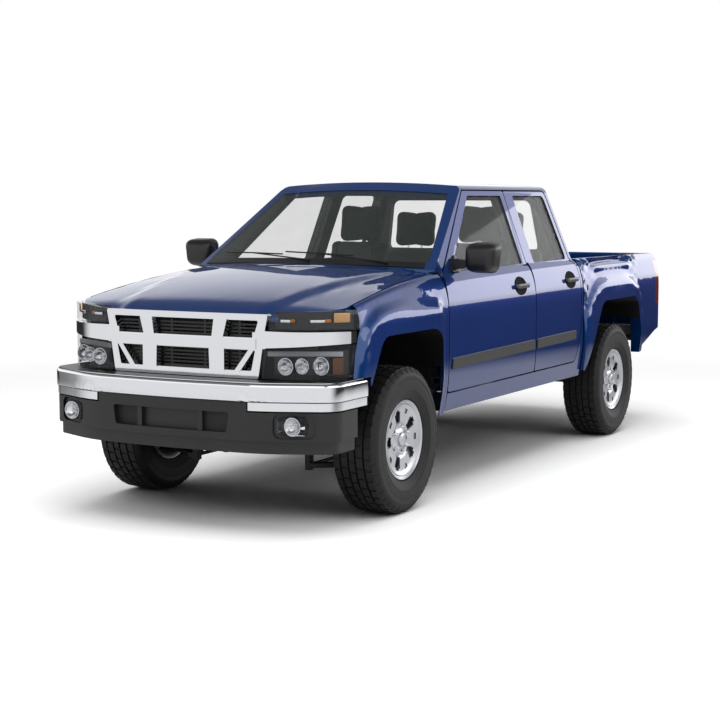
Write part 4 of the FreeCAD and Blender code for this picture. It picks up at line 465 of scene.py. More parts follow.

# %% [markdown]
# The cab shell is paint outside, and inside it has carpet on its floor, pale headlining under its roof and
# grey plastic on its pillars. A face belongs to the inside when it looks towards the middle of the cabin and
# lies within the line of the door openings. The firewall and the underside are black, and the faces that
# look into the door gaps are black too, as painted shade.
# %% Cab
CABIN_MIDDLE = Vector((0.0, -0.1, 1.15))
CABIN_SIDE_LOW = 0.712
CABIN_SIDE_HIGH = 0.555
BELT = 1.2
ROOF = 1.7
FIREWALL = -1.15
BACK_WALL = 0.85
HINGE_PILLAR = FIREWALL + 0.1
PILLAR_LOW = 0.9
PILLAR_HIGH = ROOF - 0.05
UNDERSIDE = 0.6
FLOOR_LOW = 0.55
CARPET_TOP = 0.72
TUNNEL_TOP = 0.95
LINING_LOW = 1.55
CAB_FINISHES = [paint, carpet, headlining, cabin_grey, black_trim]
CAB_PAINT, CAB_CARPET, CAB_LINING, CAB_PLASTIC, CAB_BLACK_AND_GAP_SHADE = range(5)


def cab_rule(centre, normal):
    lean = min(max((centre.z - BELT) / (ROOF - BELT), 0.0), 1.0)
    side = CABIN_SIDE_LOW + (CABIN_SIDE_HIGH - CABIN_SIDE_LOW) * lean
    inward = (CABIN_MIDDLE - centre).normalized().dot(normal)
    outward = math.copysign(1, centre.x) * normal.x
    firewall = centre.y < FIREWALL and normal.y < -0.3 and centre.z < BELT
    underside = normal.z < -0.5 and centre.z < UNDERSIDE
    hinge_side = centre.y < HINGE_PILLAR and outward > 0.9 and centre.z < BELT
    across = -1.2 < centre.y < BACK_WALL and abs(normal.y) > 0.5 and abs(outward) < 0.5 and normal.z < 0.3
    pillar_edge = across and PILLAR_LOW < centre.z < PILLAR_HIGH and abs(centre.x) > 0.5
    # The faces that look into the door gaps are painted black as painted shade; the firewall and the
    # underside are black.
    if firewall or underside or hinge_side or pillar_edge:
        return CAB_BLACK_AND_GAP_SHADE
    on_tunnel = FLOOR_LOW < centre.z < TUNNEL_TOP and abs(centre.x) < 0.6 and -1.1 < centre.y < 0.8
    if on_tunnel and normal.z > -0.3 and abs(normal.y) < 0.7:
        return CAB_CARPET
    spare = 0.08 if centre.z > BELT else 0.02
    if inward < 0.25 or abs(centre.x) > side + spare or centre.z < FLOOR_LOW:
        return CAB_PAINT
    if normal.z > 0.3 and centre.z < CARPET_TOP:
        return CAB_CARPET
    return CAB_LINING if normal.z < -0.3 and centre.z > LINING_LOW else CAB_PLASTIC


cab = dressed("cab_shell", CAB_FINISHES, 0.002, cab_rule)
dressed("cab_glass", window_glass, 0.0)
print("cab has", len(cab.data.polygons), "faces")

# %% [markdown]
# Doors are paint outside and plastic inside. Above the belt the window frame is blue too, but
# the strip along the pillar between the windows and the frame's inner edges are satin black.
# %% Doors
STRIP_LOW = 1.215
STRIP_ENDS = (-0.03, 0.24)
DOOR_INSIDE = 0.79


def door_rule(side):
    def rule(centre, normal):
        outward = normal.x * side
        strip = centre.z > STRIP_LOW and outward > 0.5 and STRIP_ENDS[0] < centre.y < STRIP_ENDS[1]
        if strip or centre.z > BELT and abs(outward) < 0.5 and normal.z < 0.5:
            return 2
        return 1 if outward < -0.5 and abs(centre.x) < DOOR_INSIDE else 0
    return rule


for end in ("front", "rear"):
    for side, sign in SIDES:
        dressed(f"door_{end}_{side}", [paint, cabin_grey, black_trim], 0.002, door_rule(sign))
        dressed(f"door_glass_{end}_{side}", window_glass, 0.0)
print("doors dressed")

# %% [markdown]
# Fenders, hood, bed and tailgate are pressed sheet in body paint, and black inside the wheel arches, where
# the black is painted shade. Their facets are kept fine, because a large curved panel shows every joined
# one.
# %% Painted panels
BED_FLOOR = 0.80
ARCH_DEPTH = 0.80
ARCH_TOP = 1.06


def arch_rule(centre, normal):
    """Black inside the wheel arches as painted shade, where a panel's face looks inwards or down."""
    outward = math.copysign(1, centre.x) * normal.x
    # Faces inside the arches that look inwards or down are painted black: painted shade.
    hidden = outward < 0.1 and normal.z < 0.2 and abs(normal.y) < 0.9
    if centre.y < 0 or centre.z < BED_FLOOR:
        return 1 if hidden else 0
    wheel_house = normal.z < -0.2 and outward < 0.6 or outward > 0.3 and abs(centre.x) < ARCH_DEPTH
    return 1 if wheel_house and centre.z < ARCH_TOP else 0


for node, rule in (("fenders", arch_rule), ("hood", None), ("bed", arch_rule), ("tailgate", None)):
    dressed(node, [paint, black_trim] if rule else paint, 0.002, rule, flat=0.02)
print("panels dressed")

# %% [markdown]
# The front end is chrome and moulded plastic. The intake in the fascia is black where a face lies behind the
# fascia's own front, whose place is measured in steps across the truck; that black is painted shade in the
# recess.
# %% Chrome and plastic front
dressed("grille_surround", chrome, 0.003)
dressed("grille_insert", black_trim, 0.0008)


def bumper_rule(centre, normal):
    """The bumper's top faces are black, and the underside of its step is black as painted shadow under the
    lip.
    """
    # Faces that look down under the step are painted black as the shadow under the bumper's lip.
    return 1 if normal.z > 0.8 or normal.z < -0.3 else 0


dressed("front_bumper", [chrome, black_trim], 0.005, bumper_rule)
INTAKE_HALF = 0.44
INTAKE = (0.47, 0.61)
INTAKE_DEPTH = 0.035
fascia_points = [v.co.copy() for v in nodes["front_fascia"].data.vertices]
fascia_front = [min(p.y for p in fascia_points if abs(abs(p.x) - 0.1 * step) < 0.07) for step in range(6)]


def fascia_rule(centre, normal):
    """Black inside the intake, as painted shade in its recess."""
    if abs(centre.x) > INTAKE_HALF or not INTAKE[0] < centre.z < INTAKE[1]:
        return 0
    front = fascia_front[round(abs(centre.x) * 10)]
    # Faces deep in the intake and its side walls are painted black: painted shade in the recess.
    return 1 if centre.y > front + INTAKE_DEPTH or abs(normal.y) < 0.5 else 0


dressed("front_fascia", [fascia_grey, seal_rubber], 0.003, fascia_rule)
dressed("rear_bumper", chrome, 0.004)
dressed("cowl", black_trim, 0.001)
print("front end dressed")

# %% [markdown]
# A headlamp is a clear lens over a dark housing in which bright bowls stand. The CAD solid is the lens,
# clear in front and red at the back of the bed. The housing is a sheet that follows the curve of the truck's
# face behind the lens, each bowl is a turned reflector with its bulb, and the upper lamp has an amber
# reflector at its outer end. The amber strip at the lower lamp's outer end is painted dark brown, as painted
# shade.
# %% Lamps
def nose_y(x):
    """Place of the truck's face at a distance from its middle."""
    return -2.475 + (x / 0.86) ** 2 * 0.060 + max(0.0, abs(x) - 0.56) ** 2 / 0.46


def housing(work, side, x_low, x_high, z_low, z_high, depth):
    """Dark sheet behind a lens, curved as the truck's face is."""
    sheet = bmesh.new()
    bmesh.ops.create_grid(sheet, x_segments=16, y_segments=3, size=0.5)
    for vert in sheet.verts:
        x = x_low + (x_high - x_low) * (vert.co.x + 0.5)
        z = z_low + (z_high - z_low) * (vert.co.y + 0.5)
        vert.co = (side * x, nose_y(x) + depth, z)
    bmesh.ops.recalc_face_normals(sheet, faces=sheet.faces)
    bmesh.ops.solidify(sheet, geom=sheet.faces[:], thickness=0.002)
    join(work, sheet, HOUSING)


BOWL_SECTION = [(0.0, 0.003), (0.002, 0.35), (0.25, 0.62), (0.6, 0.86), (1.0, 1.0), (1.0, 1.08), (0.9, 1.08)]


def bowl(work, x, y, z, radius, depth=0.03, facets=14):
    """Turned reflector that looks forward, with a bulb in its middle."""
    section = [(-depth * along, radius * out) for along, out in BOWL_SECTION]
    cup = spun(section, facets, axis=(0, 1, 0))
    bulb = bmesh.new()
    bmesh.ops.create_uvsphere(bulb, u_segments=16, v_segments=8, radius=radius * 0.24)
    bmesh.ops.scale(bulb, vec=(1, 1.8, 1), verts=bulb.verts)
    bmesh.ops.translate(bulb, vec=(0, -depth * 0.35, 0), verts=bulb.verts)
    join(cup, bulb)
    bmesh.ops.translate(cup, vec=(x, y, z), verts=cup.verts)
    join(work, cup, BRIGHT)


def plate(work, side, x_low, x_high, z_low, z_high, depth, index, thick=0.006):
    """Small rounded bar behind the lens, turned as the truck's face is."""
    bar = rounded_block((x_low, -thick, z_low), (x_high, thick, z_high), thick * 0.8)
    for vert in bar.verts:
        vert.co = (side * vert.co.x, nose_y(vert.co.x) + depth + vert.co.y, vert.co.z)
    bmesh.ops.recalc_face_normals(bar, faces=bar.faces)
    join(work, bar, index)


def lamp_front(x, z, reach=0.06):
    """Foremost place of the lens around a point of the truck's face."""
    points = [v.co for v in nodes["lamps"].data.vertices]
    return min(p.y for p in points if abs(p.x - x) < reach and abs(p.z - z) < reach)


LOWER_BOWLS = [(0.560, 0.820, 0.040), (0.640, 0.824, 0.036), (0.718, 0.824, 0.042)]
UPPER_BARS = [(0.536, 0.590), (0.678, 0.736)]
FOG_PLACE = (0.662, 0.545)
HOUSINGS = [(0.496, 0.828, 1.000, 1.086, 0.045), (0.47, 0.80, 0.775, 0.895, 0.080)]
CORNER_PLATE = (0.768, 0.822, 1.034, 1.080, 0.026)
LOWER_BAND = (0.470, 0.800, 0.868, 0.893, 0.022)
LOWER_END = (0.762, 0.800, 0.780, 0.862, 0.030)
BAR_DEPTH = 0.030
LAMP_FINISHES = [lamp_black, reflector, amber_bulb, lamp_grey, amber_painted_shade, amber_corner]
HOUSING, BRIGHT, BULB, BAND, DIM, CORNER = range(6)


def lamp_inside(side):
    work = bmesh.new()
    for place in HOUSINGS:
        housing(work, side, *place)
    for low, high in UPPER_BARS:
        plate(work, side, low, high, 1.034, 1.050, BAR_DEPTH, BRIGHT)
        plate(work, side, high - 0.002, high + 0.020, 1.034, 1.051, BAR_DEPTH, BULB, 0.007)
    plate(work, side, *CORNER_PLATE, CORNER, 0.005)
    for x, z, radius in LOWER_BOWLS:
        bowl(work, side * x, nose_y(x) + 0.060, z, radius)
    plate(work, side, *LOWER_BAND, BAND, 0.004)
    # Amber strip at the outer end, painted dark brown as painted shade.
    plate(work, side, *LOWER_END, DIM, 0.004)
    fog_x, fog_z = FOG_PLACE
    fog_y = lamp_front(side * fog_x, fog_z)
    bowl(work, side * fog_x, fog_y + 0.036, fog_z, 0.042, 0.026, 24)
    return work


dressed("lamps", [lamp_lens, red_lens], 0.002, lambda centre, normal: int(centre.y > 0))
for name, side in SIDES:
    piece(f"lamp_inside_{name}", lamp_inside(side), LAMP_FINISHES, "chassis", 0.0, angle=20)
print("lamps have", len(LOWER_BOWLS) + 1, "bowls a side")

# %% [markdown]
# The chassis, the drive and the dashboard need no new form, only their finish.
# %% Chassis
CHASSIS = {
    "frame": chassis_black, "rear_axle": iron, "front_suspension": chassis_black,
    "knuckle_left": iron, "knuckle_right": iron, "powertrain": engine_alloy,
    "exhaust": exhaust_steel, "fuel_tank": black_trim, "front_structure": black_trim,
    "spare_wheel": tyre_black, "steering_wheel": cabin_dark, "dashboard": cabin_dark,
}
for node, finish in CHASSIS.items():
    dressed(node, finish, 0.0)
print("chassis dressed")

# %% [markdown]
# A tyre is turned: its section is drawn once and spun about the axle. The section has the
# grooves that run round the tyre, and the ribs between them are then raised in blocks, with
# gaps left between block and block. Lugs on the shoulders are raised in the same way.
# %% Tyres
TYRE_STEPS = 200
AXLE_Z = 0.385
RIB_R = 0.379
RIB_LOW = 0.3745
LUG_BAND = (0.351, 0.374)
BLOCK_R = 0.3845
BLOCK_STEPS = 5
WHEEL_X = 0.733
CORNERS = {
    "front_left": (WHEEL_X, -1.690, 0), "front_right": (-WHEEL_X, -1.690, 180),
    "rear_left": (WHEEL_X, 1.510, 0), "rear_right": (-WHEEL_X, 1.510, 180),
}
TYRE_HALF_SECTION = [
    (0.099, 0.193), (0.101, 0.212), (0.110, 0.216), (0.112, 0.222), (0.120, 0.236), (0.1275, 0.258),
    (0.1285, 0.260), (0.1305, 0.262), (0.1320, 0.290), (0.1322, 0.305), (0.1300, 0.322), (0.1312, 0.325),
    (0.1295, 0.338), (0.1245, 0.350), (0.1195, 0.358), (0.110, 0.3685), (0.104, 0.3735),
]
TREAD = [
    (0.1035, 0.375), (0.071, 0.3772), (0.070, 0.369), (0.062, 0.369), (0.061, 0.378), (0.025, 0.379),
    (0.024, 0.3705), (0.016, 0.3705), (0.015, 0.3795), (-0.015, 0.3795),
]


def radius_of(point):
    return math.hypot(point.y, point.z)


def step_of(point, steps):
    return int((math.atan2(point.z, point.y) / math.tau % 1.0) * steps)


def tyre_mesh():
    tread = TREAD + [(-x, radius) for x, radius in reversed(TREAD[:-1])]
    section = TYRE_HALF_SECTION + tread + [(-x, radius) for x, radius in reversed(TYRE_HALF_SECTION)]
    inner = [(-0.080, 0.205), (-0.112, 0.250), (-0.118, 0.300), (-0.100, 0.350)]
    inner += [(-x, radius) for x, radius in reversed(inner)]
    work = spun(section + inner, TYRE_STEPS, closed=True)
    work.normal_update()
    blocks = []
    lugs = []
    for face in work.faces:
        middle = face.calc_center_median()
        radius = radius_of(middle)
        step = step_of(middle, TYRE_STEPS)
        outward = face.normal.y * middle.y + face.normal.z * middle.z
        if radius > RIB_LOW and abs(face.normal.x) < 0.5 and outward > 0:
            shift = 0 if abs(middle.x) < 0.02 else (2 if abs(middle.x) < 0.05 else 1)
            if (step + shift) % BLOCK_STEPS != 0:
                blocks.append(face)
        elif LUG_BAND[0] < radius < LUG_BAND[1] and abs(middle.x) > 0.1 and step % BLOCK_STEPS > 1:
            lugs.append(face)
    for faces, grow, aside in ((blocks, BLOCK_R / RIB_R, 1.0), (lugs, 1.004, 1.012)):
        raised = bmesh.ops.extrude_face_region(work, geom=faces)["geom"]
        verts = [item for item in raised if isinstance(item, bmesh.types.BMVert)]
        bmesh.ops.scale(work, vec=(aside, grow, grow), verts=verts)
        bmesh.ops.delete(work, geom=faces, context="FACES")
    bmesh.ops.recalc_face_normals(work, faces=work.faces)
    return work


def placed(work, corner):
    """Move finished geometry from the middle of things to a wheel's place."""
    x, y, turn = CORNERS[corner]
    move = Matrix.Translation((x, y, AXLE_Z)) @ Matrix.Rotation(math.radians(turn), 4, "Z")
    bmesh.ops.transform(work, matrix=move, verts=work.verts)
    return work


for corner in CORNERS:
    work = placed(tyre_mesh(), corner)
    made = piece(f"tyre_{corner}_treaded", work, tyre_black, f"wheel_{corner}", angle=40)
    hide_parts(f"tyre_{corner}")
print("tyre has", len(made.data.polygons), "faces")

# %% [markdown]
# The alloy wheel has a barrel, a broad face with five windows, two small pockets on each
# spoke, six nuts and a plain centre cap. The face starts as a spun disc whose faces over the
# windows are deleted; solidify gives it thickness and a narrow bevel rounds its edges.
# %% Wheels
SPOKES = 5
SPOKE_STEPS = 12
FACE_STEPS = SPOKES * SPOKE_STEPS
NUTS = 6
NUT_R = 0.0105
NUT_X = 0.086
NUT_CIRCLE = 0.06985
FACE_SECTION = [
    (0.086, 0.036), (0.084, 0.052), (0.079, 0.060), (0.078, 0.082), (0.083, 0.090), (0.086, 0.104),
    (0.087, 0.122), (0.088, 0.140), (0.089, 0.152), (0.091, 0.164), (0.095, 0.176), (0.099, 0.186),
]
BARREL = [
    (0.108, 0.206), (0.106, 0.2085), (0.101, 0.2085), (0.1, 0.193), (0.062, 0.192), (0.042, 0.170),
    (-0.020, 0.170), (-0.060, 0.192), (-0.100, 0.193), (-0.101, 0.2085), (-0.108, 0.207), (-0.106, 0.200),
    (-0.098, 0.186), (-0.064, 0.184), (-0.024, 0.163), (0.036, 0.163), (0.060, 0.184), (0.086, 0.186),
    (0.097, 0.190), (0.103, 0.200),
]
CAP = [(0.070, 0.036), (0.092, 0.0365), (0.097, 0.034), (0.100, 0.026), (0.1015, 0.014), (0.102, 0.0)]


def wheel_face():
    work = spun(FACE_SECTION, FACE_STEPS)
    work.normal_update()
    windows, pockets = [], []
    for face in work.faces:
        middle = face.calc_center_median()
        radius = radius_of(middle)
        part = step_of(middle, FACE_STEPS) % SPOKE_STEPS
        if 0.092 < radius < 0.150 and 4 <= part <= 7 or 0.150 < radius < 0.164 and part in (5, 6):
            windows.append(face)
        elif part in (0, SPOKE_STEPS - 1) and (0.140 < radius < 0.164 or 0.060 < radius < 0.082):
            pockets.append(face)
    bmesh.ops.delete(work, geom=windows, context="FACES")
    inset = bmesh.ops.inset_region(work, faces=pockets, thickness=0.002, depth=-0.006)
    for face in inset["faces"]:
        face.material_index = 1
    bmesh.ops.solidify(work, geom=work.faces[:], thickness=0.009)
    bmesh.ops.recalc_face_normals(work, faces=work.faces)
    return work


def wheel_nuts():
    work = bmesh.new()
    for index in range(NUTS):
        angle = math.tau * (index + 0.5) / NUTS
        nut = bmesh.new()
        bmesh.ops.create_cone(nut, cap_ends=True, segments=6, radius1=NUT_R, radius2=NUT_R, depth=0.018)
        cone = bmesh.ops.create_cone(
            nut, cap_ends=True, segments=16, radius1=0.0085, radius2=0.005, depth=0.01,
        )
        bmesh.ops.translate(nut, vec=(0, 0, 0.012), verts=cone["verts"])
        place = (NUT_X, NUT_CIRCLE * math.cos(angle), NUT_CIRCLE * math.sin(angle))
        move = Matrix.Translation(place) @ Matrix.Rotation(math.radians(90), 4, "Y")
        bmesh.ops.transform(nut, matrix=move, verts=nut.verts)
        join(work, nut)
    return work


for corner in CORNERS:
    face = placed(wheel_face(), corner)
    piece(f"rim_{corner}_face", face, [alloy, alloy_dark], f"wheel_{corner}", 0.0015, angle=40)
    work = spun(BARREL, 96, closed=True)
    join(work, spun(CAP, 48))
    join(work, wheel_nuts(), 1)
    barrel = piece(f"rim_{corner}_barrel", placed(work, corner), [alloy, chrome], f"wheel_{corner}", 0.0006)
    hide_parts(f"rim_{corner}")
print("wheels made at", len(CORNERS), "corners")

# %% [markdown]
# Trim on the doors: black mirrors with a silvered glass, a grey handle across an oval dish painted near
# black as painted shade, and a dark rubbing strip with a paler band along its top. The dish is draped on the
# door: rays sent at the door's skin tell how far out each of its points lies.
# %% Mirrors, handles and mouldings
TRIM_FINISHES = [black_trim, mirror_glass, fascia_grey, strip_grey]
GLASS_LOW = 1.25
STRIP_BAND = 0.752


def trim_rule(centre, normal):
    if centre.z > BELT:
        return 1 if normal.y > 0.9 and centre.z > GLASS_LOW else 0
    return 3 if normal.z > 0.5 or centre.z > STRIP_BAND else 2


MIRROR_LOW = Vector((0.842, -0.990, 1.212))
MIRROR_HIGH = Vector((1.028, -0.840, 1.396))
MIRROR_WAIST = 1.322
STALK_END = 0.874


def mirror_shell(side):
    """Rounded shell, narrower below and in front, with a sunk glass at its back."""
    work = rounded_block(MIRROR_LOW, MIRROR_HIGH, 0.046, 5)
    size = MIRROR_HIGH - MIRROR_LOW
    for vert in work.verts:
        up = (vert.co.z - MIRROR_LOW.z) / size.z
        back = (vert.co.y - MIRROR_LOW.y) / size.y
        vert.co.x = MIRROR_LOW.x + (vert.co.x - MIRROR_LOW.x) * (0.90 + 0.10 * up)
        vert.co.z = MIRROR_WAIST + (vert.co.z - MIRROR_WAIST) * (0.80 + 0.20 * back)
    handed(work, side)
    work.normal_update()
    glass = [face for face in work.faces if face.calc_center_median().y > MIRROR_HIGH.y - 0.001]
    bmesh.ops.inset_region(work, faces=glass, thickness=0.008, depth=0.0)
    bmesh.ops.inset_region(work, faces=glass, thickness=0.002, depth=-0.008)
    paint_faces(work, 0)
    for face in glass:
        face.material_index = 1
    return work


HANDLE_Z = 1.110
HANDLE_HALF = 0.088
GRIP_HALF = 0.014
GRIP_OUT = (0.010, 0.026)
DISH_HALF = (0.090, 0.056)
DISH_SECTION = [(0.0008, 0.02), (0.0008, 0.6), (0.0016, 0.85), (0.0035, 0.93), (0.0035, 0.97), (0.0, 1.0)]
DISH_STEPS = 40


def tree_of(node):
    """Search tree of a CAD node's faces, for rays."""
    mesh = nodes[node].data
    faces = [face.vertices for face in mesh.polygons]
    return BVHTree.FromPolygons([vert.co for vert in mesh.vertices], faces)


def skin_x(door_tree, side, y, z):
    """How far out the door's skin lies at a height and a place along the truck."""
    where = door_tree.ray_cast(Vector((side * 1.5, y, z)), Vector((-side, 0, 0)))[0]
    return abs(where.x)


def door_handle(door, side, y):
    """Oval dish draped on the door's skin, painted near black as painted shade, with a grip across it."""
    work = bmesh.new()
    door_tree = tree_of(door)
    rings = []
    for out, share in DISH_SECTION:
        ring = []
        for step in range(DISH_STEPS):
            angle = math.tau * step / DISH_STEPS
            at_y = y + DISH_HALF[0] * share * math.cos(angle)
            at_z = HANDLE_Z + DISH_HALF[1] * share * math.sin(angle)
            ring.append(work.verts.new((side * (skin_x(door_tree, side, at_y, at_z) + out), at_y, at_z)))
        rings.append(ring)
    work.faces.new(rings[0])
    for first, second in zip(rings, rings[1:]):
        for step in range(DISH_STEPS):
            after = (step + 1) % DISH_STEPS
            work.faces.new((first[step], first[after], second[after], second[step]))
    bmesh.ops.recalc_face_normals(work, faces=work.faces)
    if sum(face.normal.x * side for face in work.faces) < 0:
        bmesh.ops.reverse_faces(work, faces=work.faces)
    paint_faces(work, 0)
    base = skin_x(door_tree, side, y, HANDLE_Z)
    low = (base + GRIP_OUT[0], y - HANDLE_HALF, HANDLE_Z - GRIP_HALF)
    high = (base + GRIP_OUT[1], y + HANDLE_HALF, HANDLE_Z + GRIP_HALF)
    grip = rounded_block(low, high, 0.0078, 4)
    for end in (-1, 1):
        foot = rounded_block((base - 0.002, -0.012, -0.011), (base + 0.018, 0.012, 0.011), 0.005)
        bmesh.ops.translate(foot, vec=(0, y + end * (HANDLE_HALF - 0.016), HANDLE_Z), verts=foot.verts)
        join(grip, foot)
    join(work, handed(grip, side), 1)
    return work


def trim(end, side_name, side):
    """A door's trim without the plain handle and mirror, which finer ones replace."""
    node = f"trim_{end}_{side_name}"
    work = copied(node)
    handle = [vert for vert in work.verts if 1.0 < vert.co.z < 1.2 and vert.co.y > -0.8]
    bmesh.ops.delete(work, geom=handle, context="VERTS")
    if end == "front":
        bmesh.ops.bisect_plane(
            work, geom=work.verts[:] + work.edges[:] + work.faces[:], dist=SAME_PLACE,
            plane_co=(side * STALK_END, 0, 0), plane_no=(side, 0, 0), clear_outer=True,
        )
        bmesh.ops.holes_fill(work, edges=[edge for edge in work.edges if edge.is_boundary], sides=0)
        work.normal_update()
    dressed(node, TRIM_FINISHES, rule=trim_rule, work=work)
    if end == "front":
        shell = mirror_shell(side)
        piece(f"mirror_{side_name}", shell, [black_trim, mirror_glass], nodes[node]["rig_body"], angle=50)


HANDLE_PLACES = {"front": -0.126, "rear": 0.700}
for name, side in SIDES:
    for end in HANDLE_PLACES:
        trim(end, name, side)
    for end, y in HANDLE_PLACES.items():
        grip = door_handle(f"door_{end}_{name}", side, y)
        piece(f"handle_{end}_{name}", grip, [dish_painted_shade, handle_grey], f"door_body_{end}_{name}", angle=50)
print("door trim dressed")

# %% [markdown]
# The doors' inner sides get what a hand or a knee meets: an armrest, a map pocket, a round
# speaker and a bright lever. Each stands on the door's inner skin, found again with a ray.
# %% Door cards
ARMREST = (0.905, 0.950, 0.050)
POCKET = (0.665, 0.765, 0.028)
SPEAKER = (0.045, 0.70, 0.050)
LEVER = (1.000, 1.022, 0.030)


def door_card(door, side, y_low, y_high):
    """Armrest, map pocket, speaker and lever on a door's inner skin."""
    door_tree = tree_of(door)
    work = bmesh.new()

    def inner_x(y, z):
        return abs(door_tree.ray_cast(Vector((0, y, z)), Vector((side, 0, 0)))[0].x)

    def bar(low_y, high_y, low_z, high_z, depth, corner, index):
        skin = min(inner_x(y, z) for y in (low_y, high_y) for z in (low_z, high_z))
        block = rounded_block((skin - depth, low_y, low_z), (skin + 0.002, high_y, high_z), corner, 4)
        join(work, block, index)

    bar(y_low, y_high, *ARMREST, 0.018, 0)
    bar(y_low + 0.18, y_high - 0.03, *POCKET, 0.010, 0)
    bar(y_low + 0.03, y_low + 0.11, *LEVER, 0.008, 1)
    gap, speaker_z, radius = SPEAKER
    speaker_y = y_low + gap + radius
    skin = inner_x(speaker_y, speaker_z)
    disc = spun([(0.004, 0.0), (0.008, radius * 0.6), (0.010, radius * 0.9), (0.0, radius)], 40)
    handed(disc, -1)
    bmesh.ops.translate(disc, vec=(skin, speaker_y, speaker_z), verts=disc.verts)
    join(work, disc, 2)
    return handed(work, side)


CARD_FINISHES = [cabin_dark, chrome, seal_rubber]
CARD_PLACES = {"front": (-0.80, -0.22), "rear": (0.28, 0.66)}
for name, side in SIDES:
    for end, (y_low, y_high) in CARD_PLACES.items():
        card = door_card(f"door_{end}_{name}", side, y_low, y_high)
        piece(f"door_card_{end}_{name}", card, CARD_FINISHES, f"door_body_{end}_{name}", angle=50)
print("door cards made")

# %% [markdown]
# Seats: a cushion, a leaning back and a headrest, each a cover over foam. A pad starts as a
# rounded block, a little smaller than the real one. Its cover is remeshed evenly and swelled
# by a cloth simulation under pressure, with each point held to a greatest move, which gives
# the crowned faces and soft corners. The seams between the middle and the bolsters are
# pressed in afterwards. Equal pads are made once and copied.
# %% Pads
PAD_VOXEL = 0.008
PAD_CAP = 0.014
PAD_FRAMES = 20
SEAM_WIDTH = 0.006
SEAM_DEPTH = 0.007


def swelled(blank):
    """Let the cover swell under pressure, with each point held to a greatest move."""
    start = [vert.co.copy() for vert in blank.data.vertices]
    cover = blank.modifiers.new("cover", "CLOTH")
    cover.settings.use_pressure = True
    cover.settings.uniform_pressure_force = 4.0
    cover.settings.effector_weights.gravity = 0.0
    cover.collision_settings.use_collision = False
    before = scene.frame_current
    for step in range(1, PAD_FRAMES + 1):
        scene.frame_set(step)
    shaped = blank.evaluated_get(bpy.context.evaluated_depsgraph_get())
    puffed = [vert.co.copy() for vert in shaped.data.vertices]
    blank.modifiers.remove(cover)
    scene.frame_set(before)
    for vert, first, last in zip(blank.data.vertices, start, puffed):
        move = last - first
        vert.co = first + move * min(1.0, PAD_CAP / max(move.length, 0.000001))


def pad_cover(width, length, height, corner, seams, cross):
    """Mesh of a pad lying flat about the origin, with its seams pressed in on top."""
    high = (width / 2, length / 2, height / 2)
    work = rounded_block([-half for half in high], high, corner, 4)
    blank = object_of("pad_blank", work)
    even = blank.modifiers.new("even", "REMESH")
    even.mode = "VOXEL"
    even.voxel_size = PAD_VOXEL
    shaped = blank.evaluated_get(bpy.context.evaluated_depsgraph_get())
    covered = bpy.data.meshes.new_from_object(shaped)
    blank.modifiers.clear()
    blank.data = covered
    swelled(blank)
    work = bmesh.new()
    work.from_mesh(blank.data)
    bpy.data.objects.remove(blank)
    work.normal_update()
    for vert in work.verts:
        if vert.normal.z < -0.2:
            continue
        lines = [abs(vert.co.x) - x for x in seams]
        if abs(vert.co.x) < seams[0]:
            lines += [vert.co.y - y for y in cross]
        nearest = min(abs(line) for line in lines)
        vert.co -= vert.normal * SEAM_DEPTH * math.exp(-(nearest / SEAM_WIDTH) ** 2)
    return work


def padded_piece(name, cover, place, lean, middle):
    """Copy of a cover, leaned back and set at its place, with its bolsters in darker cloth."""
    work = cover.copy()
    for face in work.faces:
        face.material_index = 0 if abs(face.calc_center_median().x) < middle else 1
    move = Matrix.Translation(place) @ Matrix.Rotation(math.radians(lean), 4, "X")
    bmesh.ops.transform(work, matrix=move, verts=work.verts)
    made = piece(name, work, [seat_cloth, bolster_cloth], "chassis", angle=80)
    smooth = made.modifiers.new("smooth", "SUBSURF")
    smooth.levels = 1
    smooth.render_levels = 1
    return made


FRONT_X = 0.425
REAR_X = 0.315
REAR_HEAD_X = 0.32
BACK_LEAN = 76.5
HEAD_LEAN = 82
SEAT_LEAN = 2
FRONT_BOLSTER = 0.12
REAR_BOLSTER = 0.19
front_cushion = pad_cover(0.40, 0.45, 0.115, 0.045, [0.125], [-0.06, 0.09])
front_back = pad_cover(0.42, 0.60, 0.100, 0.044, [0.13], [-0.13, 0.02, 0.16])
headrest = pad_cover(0.29, 0.235, 0.084, 0.040, [0.20], [-0.2])
rear_cushion = pad_cover(0.61, 0.42, 0.115, 0.045, [REAR_BOLSTER], [-0.05, 0.10])
rear_back = pad_cover(0.61, 0.54, 0.095, 0.042, [REAR_BOLSTER], [-0.10, 0.08])
PADS = [
    ("front", "cushion", front_cushion, FRONT_X, -0.262, 0.722, SEAT_LEAN, FRONT_BOLSTER),
    ("front", "back", front_back, FRONT_X, 0.100, 1.072, BACK_LEAN, FRONT_BOLSTER),
    ("front", "headrest", headrest, FRONT_X, 0.180, 1.470, HEAD_LEAN, FRONT_BOLSTER),
    ("rear", "cushion", rear_cushion, REAR_X, 0.352, 0.722, SEAT_LEAN, REAR_BOLSTER),
    ("rear", "back", rear_back, REAR_X, 0.692, 1.048, BACK_LEAN, REAR_BOLSTER),
    ("rear", "headrest", headrest, REAR_HEAD_X, 0.768, 1.426, HEAD_LEAN, FRONT_BOLSTER),
]
for side_name, side in SIDES:
    for end, part, cover, x, y, z, lean, middle in PADS:
        padded_piece(f"seat_{end}_{side_name}_{part}", cover, (side * x, y, z), lean, middle)
for cover in (front_cushion, front_back, headrest, rear_cushion, rear_back):
    cover.free()
print("pads made")

